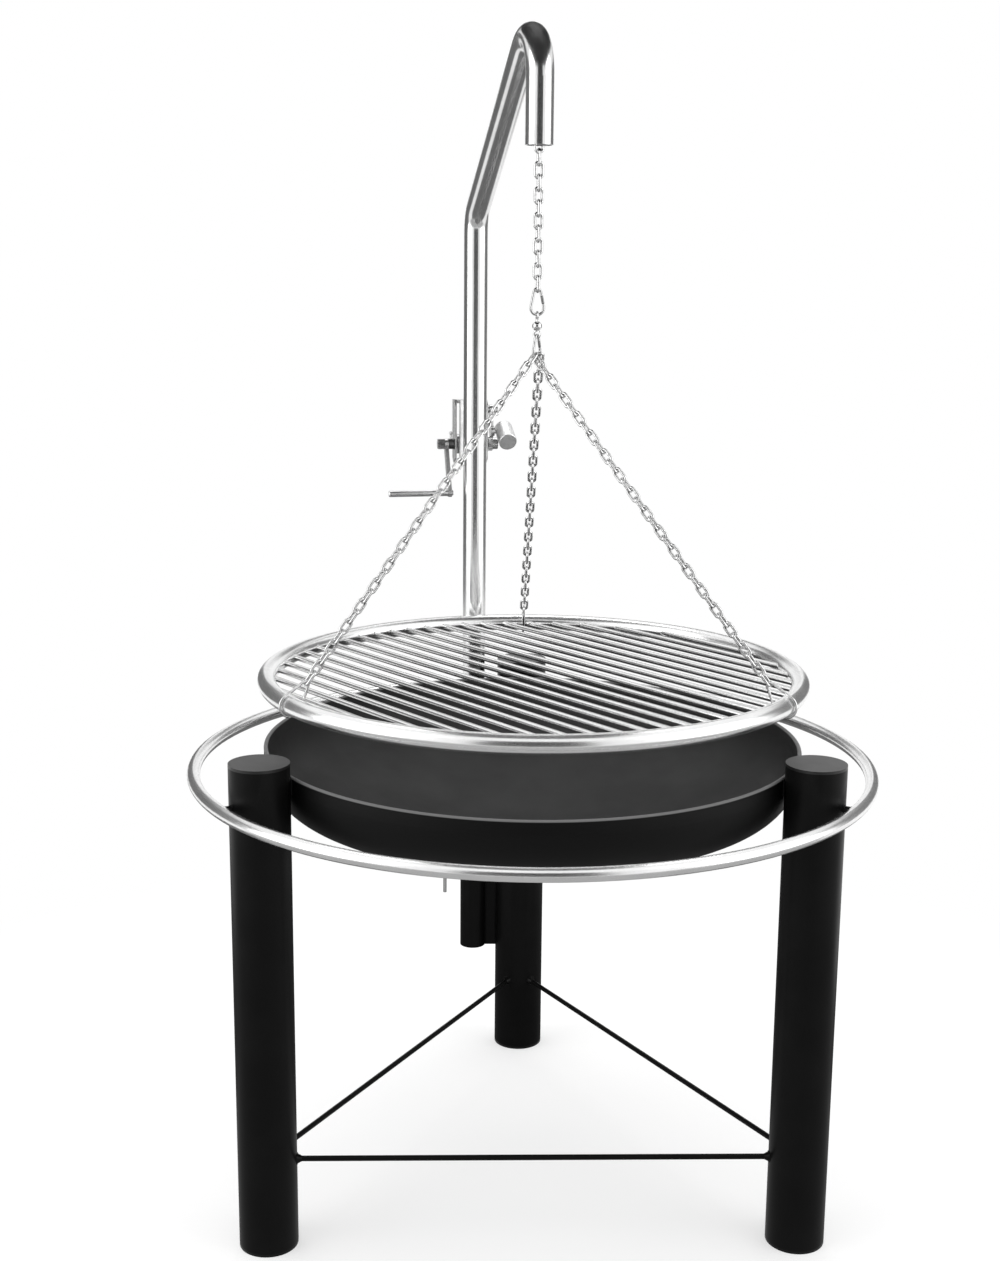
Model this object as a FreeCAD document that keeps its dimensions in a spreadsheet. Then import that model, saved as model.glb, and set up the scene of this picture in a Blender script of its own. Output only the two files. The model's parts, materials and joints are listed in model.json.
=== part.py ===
import FreeCAD, Part
import Sketcher
import math
import os
import re
from collections import namedtuple
from types import SimpleNamespace

# Swing grill: fire bowl on three tube legs, turning mast with winch, hanging round grate.
# Millimetres, +Z up, origin on the floor under the middle of the bowl, +Y towards the rear leg.

SIZES = {
    # Fire bowl, a dished end with a straight rim
    "bowl_diameter": 800,
    "bowl_wall": 6,
    "bowl_flange": 20,
    "bowl_knuckle": 76,
    "bowl_crown": 800,
    "bowl_rim_drop": 24.5,
    "bowl_leg_gap": 0.05,
    # Legs, their end discs and the floor braces
    "leg_diameter": 85,
    "leg_wall": 3,
    "leg_height": 722,
    "leg_cap": 4,
    "brace_diameter": 8,
    "brace_height": 131,
    "brace_weld_diameter": 15,
    "brace_weld_length": 7,
    "seam_gap": 0.02,
    "cut_over": 1,
    # Guard rail
    "rail_tube_diameter": 19,
    "rail_standoff": 8.1,
    "rail_drop": 59.5,
    "standoff_diameter": 10,
    # Mast socket on the rear leg and its clamp
    "socket_clearance": 0.3,
    "socket_wall": 2.2,
    "socket_bottom": 188,
    "socket_length": 432,
    "socket_cap": 4,
    "web_width": 19,
    "web_thickness": 8,
    "clamp_height": 335,
    "clamp_screw_diameter": 10,
    "clamp_boss_diameter": 20,
    "clamp_boss_length": 14,
    "clamp_neck": 6,
    "clamp_head_diameter": 16,
    "clamp_head_length": 16,
    "clamp_tip_gap": 0.3,
    "tommy_diameter": 6,
    "tommy_length": 96,
    "running_gap": 0.05,
    # Mast with arm and hook
    "mast_diameter": 40,
    "mast_wall": 2,
    "mast_foot_gap": 0.3,
    "arm_top": 1710,
    "arm_rise": 230,
    "arm_bend": 50,
    "hook_bend": 62,
    "hook_drop": 153,
    # Winch frame
    "winch_height": 1094.5,
    "winch_side_gap": 6,
    "cheek_thickness": 3,
    "cheek_above": 76.5,
    "cheek_below": 32.5,
    "cheek_ahead": 13,
    "cheek_behind": 13,
    "cheek_corner": 9,
    "winch_plate": 5,
    "mount_width": 46,
    "bush_diameter": 18,
    "bush_out": 10,
    "bush_out_right": 1,
    "ball_screw_diameter": 4,
    "ball_screw_rise": 18.7,
    "ball_screw_head": 6.4,
    # Winch shaft, drum and crank
    "shaft_diameter": 12,
    "drum_core_diameter": 24,
    "drum_flange_diameter": 34,
    "drum_flange_width": 4,
    "drum_side_gap": 1.5,
    "drum_plate_gap": 2,
    "crank_side_gap": 0.5,
    "crank_length": 89,
    "crank_angle": 24.5,
    "crank_thickness": 6,
    "crank_width": 14,
    "crank_hub_rim": 2,
    "handle_diameter": 11,
    "handle_length": 103,
    "handle_chamfer": 1,
    "handle_spigot_diameter": 7,
    "rivet_diameter": 9,
    "rivet_height": 2.5,
    "nut_width": 17,
    "nut_length": 11.5,
    "shaft_stub": 0.6,
    "shaft_end": 1,
    # Ratchet wheel, pawl and its weight
    "ratchet_diameter": 26,
    "ratchet_depth": 2.5,
    "ratchet_teeth": 12,
    "ratchet_width": 8,
    "ratchet_side_gap": 2,
    "collar_diameter": 20,
    "collar_length": 9,
    "pawl_thickness": 6,
    "pawl_pivot_forward": 6,
    "pawl_pivot_rise": 59.5,
    "pawl_pivot_diameter": 8,
    "pawl_boss_diameter": 16,
    "pawl_shoulder": 2,
    "pawl_bar_width": 14,
    "pawl_nose_gap": 0.4,
    "pawl_nose_angle": 50,
    "pawl_nose_length": 7,
    "pawl_back": 7,
    "pawl_heel": 4.5,
    "pawl_ear_inset": 3,
    "pawl_ear_rise": 2,
    "pawl_bolt_head_diameter": 13,
    "pawl_bolt_head_length": 8,
    "stud_diameter": 8,
    "stud_forward": 22,
    "stud_rise": 23,
    "weight_diameter": 31,
    "weight_chamfer": 1,
    "weight_length": 46,
    "weight_back": 10,
    "weight_tilt": 27,
    "weight_side_gap": 2.5,
    # Chains and the hidden rope
    "chain_wire": 4.2,
    "chain_pitch": 17.4,
    "chain_side_gap": 1,
    "chain_gap": 0.3,
    "hoist_insert": 31.4,
    "hoist_upper_links": 8,
    "hoist_lower_links": 4,
    "rope_diameter": 4,
    "rope_slope": 12,
    "rope_turn": 40,
    "rope_eye": 6.5,
    "rope_slot_width": 8,
    "rope_slot_margin": 4,
    # Carabiners and swivel
    "carabiner_wire": 4,
    "carabiner_top": 5,
    "carabiner_bottom": 9.5,
    "carabiner_span": 22.2,
    "junction_bottom": 10.5,
    "junction_span": 19,
    "junction_gap": 1.1,
    "junction_spread": 58,
    "gate_start": 0.12,
    "gate_end": 0.74,
    "gate_gap": 0.35,
    "swivel_wire": 3,
    "swivel_eye": 5,
    "swivel_ball": 14,
    "swivel_neck": 1.3,
    "swivel_stem": 4,
    "swivel_head": 7.2,
    "swivel_head_gap": 0.4,
    # Hanging grate
    "grate_above_legs": 74.3,
    "grate_mast_gap": 23,
    "grate_tube_diameter": 26.9,
    "bar_diameter": 8,
    "bar_pitch": 33,
    "bar_direction": -53,
    "bail_wire": 4,
    "bail_top": 5,
    "bail_gap": 0.4,
    "bail_length": 40,
}

doc = FreeCAD.newDocument("SwingGrill")
sheet = doc.addObject("Spreadsheet::Sheet", "Sizes")
for row, (alias, value) in enumerate(SIZES.items(), start=1):
    sheet.set("A%d" % row, alias)
    sheet.set("B%d" % row, str(value))
    sheet.setAlias("B%d" % row, alias)
doc.recompute()

s = SimpleNamespace(**{alias: float(sheet.get(alias)) for alias in SIZES})
V = FreeCAD.Vector
ORIGIN = V(0, 0, 0)
EAST = V(1, 0, 0)
NORTH = V(0, 1, 0)
UP = V(0, 0, 1)
nodes = []

Run = namedtuple("Run", "start end")
Bend = namedtuple("Bend", "start centre axis angle")


def formula(text):
    """Point every size named in a formula at its cell in the sheet."""
    def cell(match):
        word = match.group(0)
        return "Sizes." + word if word in SIZES else word

    return re.sub(r"[a-z][a-z_]+", cell, text)


def bind(obj, **formulas):
    """Tie properties of an object to the sheet."""
    for name, text in formulas.items():
        obj.setExpression(name.replace("__", "."), formula(text))
    return obj


def keep(label, obj):
    """Name an object as one of the part's nodes."""
    obj.Label = label
    nodes.append(obj)
    return obj


def place(base, direction=UP):
    """Placement at a point with local Z along a direction."""
    return FreeCAD.Placement(base, FreeCAD.Rotation(UP, direction))


def axes_place(base, side, normal, along):
    """Placement with the three local axes given."""
    return FreeCAD.Placement(FreeCAD.Matrix(
        side.x, normal.x, along.x, base.x,
        side.y, normal.y, along.y, base.y,
        side.z, normal.z, along.z, base.z,
        0, 0, 0, 1))


def polar(radius, azimuth, z):
    """Point at a radius and azimuth in degrees."""
    turn = math.radians(azimuth)
    return V(radius * math.cos(turn), radius * math.sin(turn), z)


def cylinder(name, radius, height, placement):
    """Cylinder with sizes from the sheet."""
    obj = bind(doc.addObject("Part::Cylinder", name), Radius=radius, Height=height)
    obj.Placement = placement
    return obj


def cut(name, base, tool):
    """Base less tool, both kept as objects of the document."""
    obj = doc.addObject("Part::Cut", name)
    obj.Base = base
    obj.Tool = tool
    return obj


def group(label, members):
    """Several equal pieces in one node."""
    obj = doc.addObject("Part::Compound", label)
    obj.Links = members
    return keep(label, obj)


def shaped(label, shape, placement=None):
    """Node whose form is worked out below from the sheet's sizes."""
    obj = doc.addObject("Part::Feature", label)
    obj.Shape = shape
    if placement is not None:
        obj.Placement = placement.multiply(shape.Placement)
    return keep(label, obj)


def disc(centre, normal, radius):
    """Round face."""
    return Part.Face(Part.Wire(Part.makeCircle(radius, centre, normal)))


def rod_along(path, radius):
    """Round rod along straight runs and bends that follow each other smoothly."""
    pieces = []
    for step in path:
        if isinstance(step, Run):
            heading = step.end - step.start
            pieces.append(disc(step.start, heading, radius).extrude(heading))
        else:
            heading = step.axis.cross(step.start - step.centre)
            pieces.append(disc(step.start, heading, radius).revolve(step.centre, step.axis, step.angle))
    if len(pieces) == 1:
        return pieces[0]
    return pieces[0].fuse(pieces[1:]).removeSplitter().Solids[0]


def turned(points):
    """Solid of revolution about local Z from a radius and height outline."""
    outline = [V(r, 0, z) for r, z in points]
    return Part.Face(Part.makePolygon(outline + outline[:1])).revolve(ORIGIN, UP, 360)


def flat(points, low, high):
    """Plate in the local X-Z plane between two heights of local Y."""
    outline = [V(x, low, z) for x, z in points]
    return Part.Face(Part.makePolygon(outline + outline[:1])).extrude(V(0, high - low, 0))


def bar_y(radius, low, high, x=0.0, z=0.0):
    """Round bar along local Y."""
    return Part.makeCylinder(radius, high - low, V(x, low, z), NORTH)


def hole_y(radius, low, high, x, z):
    """Round tool along local Y that passes through both faces of a plate."""
    return bar_y(radius, low - s.cut_over, high + s.cut_over, x, z)


# Reference lines of the stand
leg_r = s.leg_diameter / 2
leg_circle = s.bowl_diameter / 2 + s.bowl_leg_gap + leg_r
LEG_ANGLES = {"rear": 90, "front_left": 210, "front_right": 330}
LEG_CIRCLE = "(bowl_diameter / 2 + bowl_leg_gap + leg_diameter / 2)"
rim_z = s.leg_height - s.bowl_rim_drop
rail_z = s.leg_height - s.rail_drop
rail_r = s.rail_tube_diameter / 2
rail_circle = leg_circle + leg_r + s.rail_standoff + rail_r

# Reference lines of the mast: local X runs from the mast axis to the hook
mast_r = s.mast_diameter / 2
socket_r = mast_r + s.socket_clearance + s.socket_wall
mast_axis = V(-(leg_r + s.web_width + socket_r), leg_circle, 0)
reach = math.hypot(mast_axis.x, mast_axis.y)
mast_turn = math.degrees(math.atan2(-mast_axis.y, -mast_axis.x))
MAST = FreeCAD.Placement(mast_axis, FreeCAD.Rotation(UP, mast_turn))
forward = MAST.Rotation.multVec(EAST)
sideways = MAST.Rotation.multVec(NORTH)


def leg(side, azimuth):
    """Upright tube leg: padded ring section."""
    body = doc.addObject("PartDesign::Body", "leg_" + side)
    floor = [item for item in body.Origin.OriginFeatures if item.Role == "XY_Plane"][0]
    section = body.newObject("Sketcher::SketchObject", "leg_section_" + side)
    section.AttachmentSupport = [(floor, "")]
    section.MapMode = "FlatFace"
    for index, radius in enumerate(("leg_diameter / 2", "leg_diameter / 2 - leg_wall")):
        section.addGeometry(Part.Circle(ORIGIN, UP, 40 - 5 * index), False)
        section.addConstraint(Sketcher.Constraint("Coincident", index, 3, -1, 1))
        fixed = section.addConstraint(Sketcher.Constraint("Radius", index, 40 - 5 * index))
        section.setExpression("Constraints[%d]" % fixed, formula(radius))
    pad = body.newObject("PartDesign::Pad", "leg_pad_" + side)
    pad.Profile = section
    bind(pad, Length="leg_height - 2 * leg_cap - 2 * seam_gap")
    body.Placement = place(polar(leg_circle, azimuth, s.leg_cap + s.seam_gap))
    return keep("leg_" + side, body)


def leg_discs(label, z):
    """One flat disc at the same height of each leg."""
    discs = []
    for side, azimuth in LEG_ANGLES.items():
        centre = polar(leg_circle, azimuth, z)
        discs.append(cylinder(label + "_" + side, "leg_diameter / 2", "leg_cap", place(centre)))
    group(label, discs)


def leg_space(azimuth):
    """Room taken by a leg and the seam round it."""
    return Part.makeCylinder(leg_r + s.seam_gap, s.leg_height, polar(leg_circle, azimuth, 0))


def brace(label, start, end):
    """Thin rod between two legs, flared where it is welded on and coped to the tubes."""
    low, high = polar(leg_circle, start, s.brace_height), polar(leg_circle, end, s.brace_height)
    span = (high - low).Length
    rod, weld = s.brace_diameter / 2, s.brace_weld_diameter / 2
    flare = leg_r + s.brace_weld_length
    form = turned([(0, 0), (weld, 0), (weld, leg_r), (rod, flare), (rod, span - flare),
                   (weld, span - leg_r), (weld, span), (0, span)])
    form.Placement = place(low, high - low)
    shaped(label, form.cut(leg_space(start)).cut(leg_space(end)).Solids[0])


def fire_bowl():
    """Dished bowl turned from its wall section: straight rim, knuckle, crown and rounded lip."""
    rim, knuckle, crown = s.bowl_diameter / 2, s.bowl_knuckle, s.bowl_crown
    bend_z = rim_z - s.bowl_flange
    crown_z = bend_z + math.sqrt((crown - knuckle) ** 2 - (rim - knuckle) ** 2)
    lean = math.atan2(rim - knuckle, crown_z - bend_z)
    lip_z = rim_z - s.bowl_wall / 2

    def skin(inset):
        """Rim line, knuckle arc and crown arc at one depth of the wall."""
        small, large = knuckle - inset, crown - inset

        def on_knuckle(turn):
            return V(rim - knuckle + small * math.sin(turn), 0, bend_z - small * math.cos(turn))

        def on_crown(turn):
            return V(large * math.sin(turn), 0, crown_z - large * math.cos(turn))

        top = V(rim - inset, 0, lip_z)
        start = on_knuckle(math.pi / 2)
        meet = on_crown(lean)
        return [Part.makeLine(top, start),
                Part.Arc(start, on_knuckle((math.pi / 2 + lean) / 2), meet).toShape(),
                Part.Arc(meet, on_crown(lean / 2), on_crown(0)).toShape()]

    outer, inner = skin(0), skin(s.bowl_wall)
    lip = Part.Arc(V(rim - s.bowl_wall, 0, lip_z), V(rim - s.bowl_wall / 2, 0, rim_z), V(rim, 0, lip_z))
    floor = Part.makeLine(V(0, 0, crown_z - crown), V(0, 0, crown_z - crown + s.bowl_wall))
    section = Part.Wire(Part.__sortEdges__(outer + inner + [lip.toShape(), floor]))
    shaped("fire_bowl", Part.Face(section).revolve(ORIGIN, UP, 360))


def guard_rail():
    """Ring of tube round the legs, carried by a short stud on each leg."""
    ring = doc.addObject("Part::Torus", "guard_rail_ring")
    bind(ring, Radius1=LEG_CIRCLE + " + leg_diameter / 2 + rail_standoff + rail_tube_diameter / 2",
         Radius2="rail_tube_diameter / 2", Placement__Base__z="leg_height - rail_drop")
    keep("guard_rail_ring", ring)
    space = Part.makeTorus(rail_circle, rail_r + s.seam_gap, V(0, 0, rail_z))
    studs = []
    for azimuth in LEG_ANGLES.values():
        stud = Part.makeCylinder(s.standoff_diameter / 2, rail_circle - leg_circle,
                                 polar(leg_circle, azimuth, rail_z), polar(1, azimuth, 0))
        studs.append(stud.cut(leg_space(azimuth)).cut(space).Solids[0])
    shaped("rail_standoffs", Part.makeCompound(studs))


def socket():
    """Tube beside the rear leg that the mast turns in, with its web, floor disc and clamp boss."""
    outer_radius = "mast_diameter / 2 + socket_clearance + socket_wall"
    foot = mast_axis + UP * s.socket_bottom
    side = mast_axis + UP * s.clamp_height
    outer = cylinder("socket_outside", outer_radius, "socket_length - socket_cap - seam_gap",
                     place(foot + UP * (s.socket_cap + s.seam_gap)))
    bore = cylinder("socket_bore", "mast_diameter / 2 + socket_clearance", "socket_length", place(foot))
    hole = cylinder("socket_hole", "clamp_screw_diameter / 2 + socket_clearance", "mast_diameter",
                    place(side, EAST * -1))
    keep("mast_socket", cut("mast_socket", cut("socket_tube", outer, bore), hole))
    keep("socket_base_cap", cylinder("socket_base_cap", outer_radius, "socket_cap", place(foot)))

    web = doc.addObject("Part::Box", "web_bar")
    bind(web, Length="leg_diameter / 2 + web_width + " + outer_radius, Width="web_thickness",
         Height="socket_length")
    web.Placement = place(foot - NORTH * (s.web_thickness / 2))
    rear_leg = place(polar(leg_circle, LEG_ANGLES["rear"], 0))
    leg_side = cylinder("web_leg_side", "leg_diameter / 2 + seam_gap", "leg_height", rear_leg)
    socket_side = cylinder("web_socket_side", outer_radius + " + seam_gap", "leg_height", place(mast_axis))
    keep("socket_web", cut("socket_web", cut("web_on_leg", web, leg_side), socket_side))

    outward = place(side, EAST * -1)
    boss = cylinder("boss_bar", "clamp_boss_diameter / 2", outer_radius + " + clamp_boss_length", outward)
    thread = cylinder("boss_thread", "clamp_screw_diameter / 2 + running_gap", "leg_height", outward)
    seat = cylinder("boss_seat", outer_radius + " + seam_gap", "leg_height", place(mast_axis))
    keep("clamp_boss", cut("clamp_boss", cut("boss_on_socket", boss, seat), thread))


def clamp():
    """Screw that bears on the mast, with a loose-looking cross bar through its head."""
    tip = mast_r + s.clamp_tip_gap
    neck_end = socket_r + s.clamp_boss_length + s.clamp_neck
    head_end = neck_end + s.clamp_head_length
    screw, head = s.clamp_screw_diameter / 2, s.clamp_head_diameter / 2
    form = turned([(0, tip), (screw, tip), (screw, neck_end), (head, neck_end),
                   (head, head_end), (0, head_end)])
    form.Placement = place(mast_axis + UP * s.clamp_height, EAST * -1)
    middle = mast_axis + V(-(neck_end + head_end) / 2, 0, s.clamp_height - s.tommy_length / 2)
    hole = Part.makeCylinder(s.tommy_diameter / 2 + s.seam_gap, s.tommy_length, middle)
    shaped("clamp_screw", form.cut(hole).Solids[0])
    keep("clamp_tommy_bar", cylinder("clamp_tommy_bar", "tommy_diameter / 2", "tommy_length", place(middle)))


# Arm: the lower bend turns the mast forward and up, the hook bend turns it down
hook_z = s.arm_top - s.hook_bend
mouth_z = s.arm_top - s.hook_drop
corner_z = s.arm_top - s.arm_rise


def arm_slope():
    """Slope of the straight arm in degrees, found by halving, so that it meets both bends smoothly."""
    low, high = 0.0, 80.0
    for _ in range(60):
        slope = math.radians((low + high) / 2)
        run = reach - s.hook_bend - s.hook_bend * math.sin(slope)
        if hook_z + s.hook_bend * math.cos(slope) - math.tan(slope) * run > corner_z:
            low = math.degrees(slope)
        else:
            high = math.degrees(slope)
    return low


slope = arm_slope()
slope_cos, slope_sin = math.cos(math.radians(slope)), math.sin(math.radians(slope))
corner_run = s.arm_bend * math.tan(math.radians(90 - slope) / 2)
lower_start = V(0, 0, corner_z - corner_run)
lower_end = V(corner_run * slope_cos, 0, corner_z + corner_run * slope_sin)
lower_centre = lower_start + EAST * s.arm_bend
hook_centre = V(reach - s.hook_bend, 0, hook_z)
hook_start = hook_centre + V(-slope_sin, 0, slope_cos) * s.hook_bend
hook_end = V(reach, 0, hook_z)
mast_foot = s.socket_bottom + s.socket_cap + s.mast_foot_gap


def mast_path(extra):
    """Centre line of the mast, arm and hook, longer at both ends by the extra length."""
    return [Run(V(0, 0, mast_foot - extra), lower_start),
            Bend(lower_start, lower_centre, NORTH, 90 - slope),
            Run(lower_end, hook_start),
            Bend(hook_start, hook_centre, NORTH, 90 + slope),
            Run(hook_end, V(reach, 0, mouth_z - extra))]


# Winch lines, all in the mast's own axes
shaft_x = -(mast_r + s.seam_gap + s.winch_plate + s.drum_plate_gap + s.drum_flange_diameter / 2)
shaft_z = s.winch_height
shaft_r = s.shaft_diameter / 2
cheek_in = mast_r + s.winch_side_gap
cheek_out = cheek_in + s.cheek_thickness
cheek_top = shaft_z + s.cheek_above
rope_r = s.rope_diameter / 2
rope_lean = math.radians(s.rope_slope)
rope_pitch = s.drum_core_diameter / 2 + rope_r + s.seam_gap
rope_end = V(shaft_x + rope_pitch * math.cos(rope_lean), 0, shaft_z - rope_pitch * math.sin(rope_lean))
rope_leave_x = -s.rope_turn * (1 - math.cos(rope_lean))
rope_leave_z = rope_end.z + (rope_leave_x - rope_end.x) / math.tan(rope_lean)


def rope_slot(front, rear):
    """Slot for the rope through a wall between two depths behind the mast axis."""
    margin = rope_r / math.sin(rope_lean) + s.rope_slot_margin
    high = rope_leave_z - (rope_leave_x + front) / math.tan(rope_lean) + margin
    low = rope_leave_z - (rope_leave_x + rear) / math.tan(rope_lean) - margin
    width, over = s.rope_slot_width, s.cut_over
    return Part.makeBox(rear - front + 2 * over, width, high - low, V(-rear - over, -width / 2, low))


def mast_arm():
    """Bent tube with an open mouth and a rope slot behind."""
    tube = rod_along(mast_path(0), mast_r).cut(rod_along(mast_path(s.cut_over), mast_r - s.mast_wall))
    shaped("mast_arm", tube.cut(rope_slot(mast_r - s.mast_wall, mast_r)).Solids[0], MAST)


def hoist_rope(eye_z):
    """Rope from an eye across the chain's top link, along the tube and out to the drum."""
    eye = Part.makeTorus(s.rope_eye, rope_r, V(reach, 0, eye_z), EAST if top_link_aside else NORTH)
    leave = V(rope_leave_x, 0, rope_leave_z)
    turn = V(0, 0, rope_leave_z + s.rope_turn * math.sin(rope_lean))
    path = [Run(V(reach, 0, eye_z + s.rope_eye), hook_end),
            Bend(hook_end, hook_centre, NORTH * -1, 90 + slope),
            Run(hook_start, lower_end),
            Bend(lower_end, lower_centre, NORTH * -1, 90 - slope),
            Run(lower_start, turn),
            Bend(turn, turn - EAST * s.rope_turn, NORTH, s.rope_slope),
            Run(leave, rope_end)]
    shaped("hoist_rope", rod_along(path, rope_r).fuse(eye).Solids[0], MAST)


def winch_frame():
    """Two cheeks, the plate on the mast, the bridge over the drum, bushes and small fittings."""
    rear, bottom = shaft_x - s.cheek_behind, shaft_z - s.cheek_below
    front, corner = shaft_x + s.cheek_ahead, s.cheek_corner
    outline = [(front, bottom + corner), (front, cheek_top - corner), (front - corner, cheek_top),
               (rear, cheek_top), (rear, bottom + corner), (rear + corner, bottom), (front - corner, bottom)]
    bush_r = s.bush_diameter / 2
    for side, low, high in (("left", -cheek_out, -cheek_in), ("right", cheek_in, cheek_out)):
        plate = flat(outline, low, high).cut(hole_y(bush_r + s.seam_gap, low, high, shaft_x, shaft_z))
        if side == "right":
            plate = plate.cut(hole_y(s.pawl_pivot_diameter / 2 + s.seam_gap, low, high, *pivot))
        shaped("winch_cheek_" + side, plate.Solids[0], MAST)

    half = cheek_in - s.seam_gap
    face = mast_r + s.seam_gap
    back = face + s.winch_plate
    plate = Part.makeBox(s.winch_plate, s.mount_width, cheek_top - bottom - corner,
                         V(-back, -s.mount_width / 2, bottom + corner))
    shaped("winch_mount_plate", plate.cut(rope_slot(face, back)).Solids[0], MAST)
    bridge = Part.makeBox(-back - s.seam_gap - rear, 2 * half, s.winch_plate,
                          V(rear, -half, cheek_top - s.winch_plate))
    shaped("winch_top_plate", bridge, MAST)

    left = bar_y(bush_r, -cheek_out - s.bush_out, -cheek_in, shaft_x, shaft_z)
    right = bar_y(bush_r, cheek_in, cheek_out + s.bush_out_right, shaft_x, shaft_z)
    bore = bar_y(shaft_r + s.running_gap, -2 * cheek_out, 2 * cheek_out, shaft_x, shaft_z)
    shaped("shaft_bushes", Part.makeCompound([left.cut(bore), right.cut(bore)]), MAST)

    stem_y = -cheek_out - s.bush_out / 2
    ball_z = shaft_z + s.ball_screw_rise
    stem = Part.makeCylinder(s.ball_screw_diameter / 2, s.ball_screw_rise, V(shaft_x, stem_y, shaft_z))
    ball = Part.makeSphere(s.ball_screw_head / 2, V(shaft_x, stem_y, ball_z))
    seat = bar_y(bush_r + s.seam_gap, -2 * cheek_out, 0, shaft_x, shaft_z)
    shaped("ball_head_screw", stem.fuse(ball).cut(seat).Solids[0], MAST)

    shank, shoulder = s.pawl_pivot_diameter / 2, s.pawl_boss_diameter / 2 - s.pawl_shoulder
    step_in, step_out = cheek_out + s.seam_gap, pawl_in - s.chain_gap
    head_in, head = pawl_out + s.chain_gap, s.pawl_bolt_head_diameter / 2
    head_out = head_in + s.pawl_bolt_head_length
    form = turned([(0, cheek_in), (shank, cheek_in), (shank, step_in), (shoulder, step_in), (shoulder, step_out),
                   (shank, step_out), (shank, head_in), (head, head_in), (head, head_out), (0, head_out)])
    form.Placement = place(V(pivot[0], 0, pivot[1]), NORTH)
    shaped("pawl_pivot_bolt", form, MAST)


# Ratchet and pawl lines
ratchet_r = s.ratchet_diameter / 2
ratchet_in = cheek_out + s.ratchet_side_gap
ratchet_out = ratchet_in + s.ratchet_width
pawl_in = (ratchet_in + ratchet_out - s.pawl_thickness) / 2
pawl_out = pawl_in + s.pawl_thickness
pivot = (shaft_x + s.pawl_pivot_forward, shaft_z + s.pawl_pivot_rise)
stud = (shaft_x + s.stud_forward, shaft_z + s.stud_rise)


def ring_y(radius, low, high):
    """Collar on the winch shaft."""
    bore = hole_y(shaft_r + s.seam_gap, low, high, shaft_x, shaft_z)
    return bar_y(radius, low, high, shaft_x, shaft_z).cut(bore)


def saw_tooth(index):
    """Foot, rise, tip and drop of one ratchet tooth as radius and angle."""
    start = s.pawl_nose_angle - 4 + index * 360 / s.ratchet_teeth
    share = 360 / s.ratchet_teeth / 30
    foot = ratchet_r - s.ratchet_depth
    for radius, turn in ((foot, 0), (ratchet_r, 22), (ratchet_r, 25), (foot, 29)):
        angle = math.radians(start + turn * share)
        yield shaft_x + radius * math.cos(angle), shaft_z + radius * math.sin(angle)


def crank():
    """Shaft with drum, ratchet wheel and collar, and the crank with its rod handle outside the left cheek."""
    arm_in = -cheek_out - s.bush_out - s.crank_side_gap
    arm_out = arm_in - s.crank_thickness
    nut_out = arm_out - s.seam_gap - s.nut_length
    collar_in = ratchet_out + s.seam_gap
    collar_out = collar_in + s.collar_length
    shaft = bar_y(shaft_r, nut_out - s.shaft_stub, collar_out + s.shaft_end, shaft_x, shaft_z)
    shaped("winch_shaft", shaft, MAST)

    half, core, flange = cheek_in - s.drum_side_gap, s.drum_core_diameter / 2, s.drum_flange_diameter / 2
    edge = half - s.drum_flange_width
    bore = shaft_r + s.seam_gap
    drum = turned([(bore, -half), (flange, -half), (flange, -edge), (core, -edge),
                   (core, edge), (flange, edge), (flange, half), (bore, half)])
    drum.Placement = place(V(shaft_x, 0, shaft_z), NORTH)
    shaped("rope_drum", drum, MAST)

    teeth = [point for index in range(int(s.ratchet_teeth)) for point in saw_tooth(index)]
    wheel = flat(teeth, ratchet_in, ratchet_out).cut(hole_y(bore, ratchet_in, ratchet_out, shaft_x, shaft_z))
    shaped("ratchet_wheel", wheel.Solids[0], MAST)
    shaped("shaft_collar", ring_y(s.collar_diameter / 2, collar_in, collar_out), MAST)

    lean = math.radians(s.crank_angle)
    end = (shaft_x + s.crank_length * math.sin(lean), shaft_z - s.crank_length * math.cos(lean))
    wide = s.crank_width / 2
    sides = [(x + k * wide * math.cos(lean), z + k * wide * math.sin(lean))
             for (x, z), k in (((shaft_x, shaft_z), 1), (end, 1), (end, -1), ((shaft_x, shaft_z), -1))]
    arm = flat(sides, arm_out, arm_in).fuse([bar_y(wide, arm_out, arm_in, *end),
                                            bar_y(wide + s.crank_hub_rim, arm_out, arm_in, shaft_x, shaft_z)])
    spigot = s.handle_spigot_diameter / 2
    arm = arm.cut(hole_y(bore, arm_out, arm_in, shaft_x, shaft_z))
    arm = arm.cut(hole_y(spigot + s.seam_gap, arm_out, arm_in, *end)).removeSplitter()
    shaped("crank_arm", arm.Solids[0], MAST)

    grip_in = arm_out - s.seam_gap
    grip_out = grip_in - s.handle_length
    grip_r, edge = s.handle_diameter / 2, s.handle_chamfer
    grip = turned([(0, grip_out), (grip_r - edge, grip_out), (grip_r, grip_out + edge), (grip_r, grip_in),
                   (spigot, grip_in), (spigot, arm_in), (0, arm_in)])
    grip.Placement = place(V(end[0], 0, end[1]), NORTH)
    shaped("crank_handle", grip, MAST)
    rivet = bar_y(s.rivet_diameter / 2, arm_in + s.seam_gap, arm_in + s.rivet_height, *end)
    shaped("handle_rivet", rivet, MAST)

    flats = s.nut_width / 2 / math.cos(math.radians(30))
    turns = [math.radians(60 * k) for k in range(6)]
    hexagon = [(shaft_x + flats * math.cos(turn), shaft_z + flats * math.sin(turn)) for turn in turns]
    nut = flat(hexagon, nut_out, arm_out - s.seam_gap)
    shaped("shaft_end_nut", nut.cut(hole_y(bore, nut_out, arm_out, shaft_x, shaft_z)).Solids[0], MAST)


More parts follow.
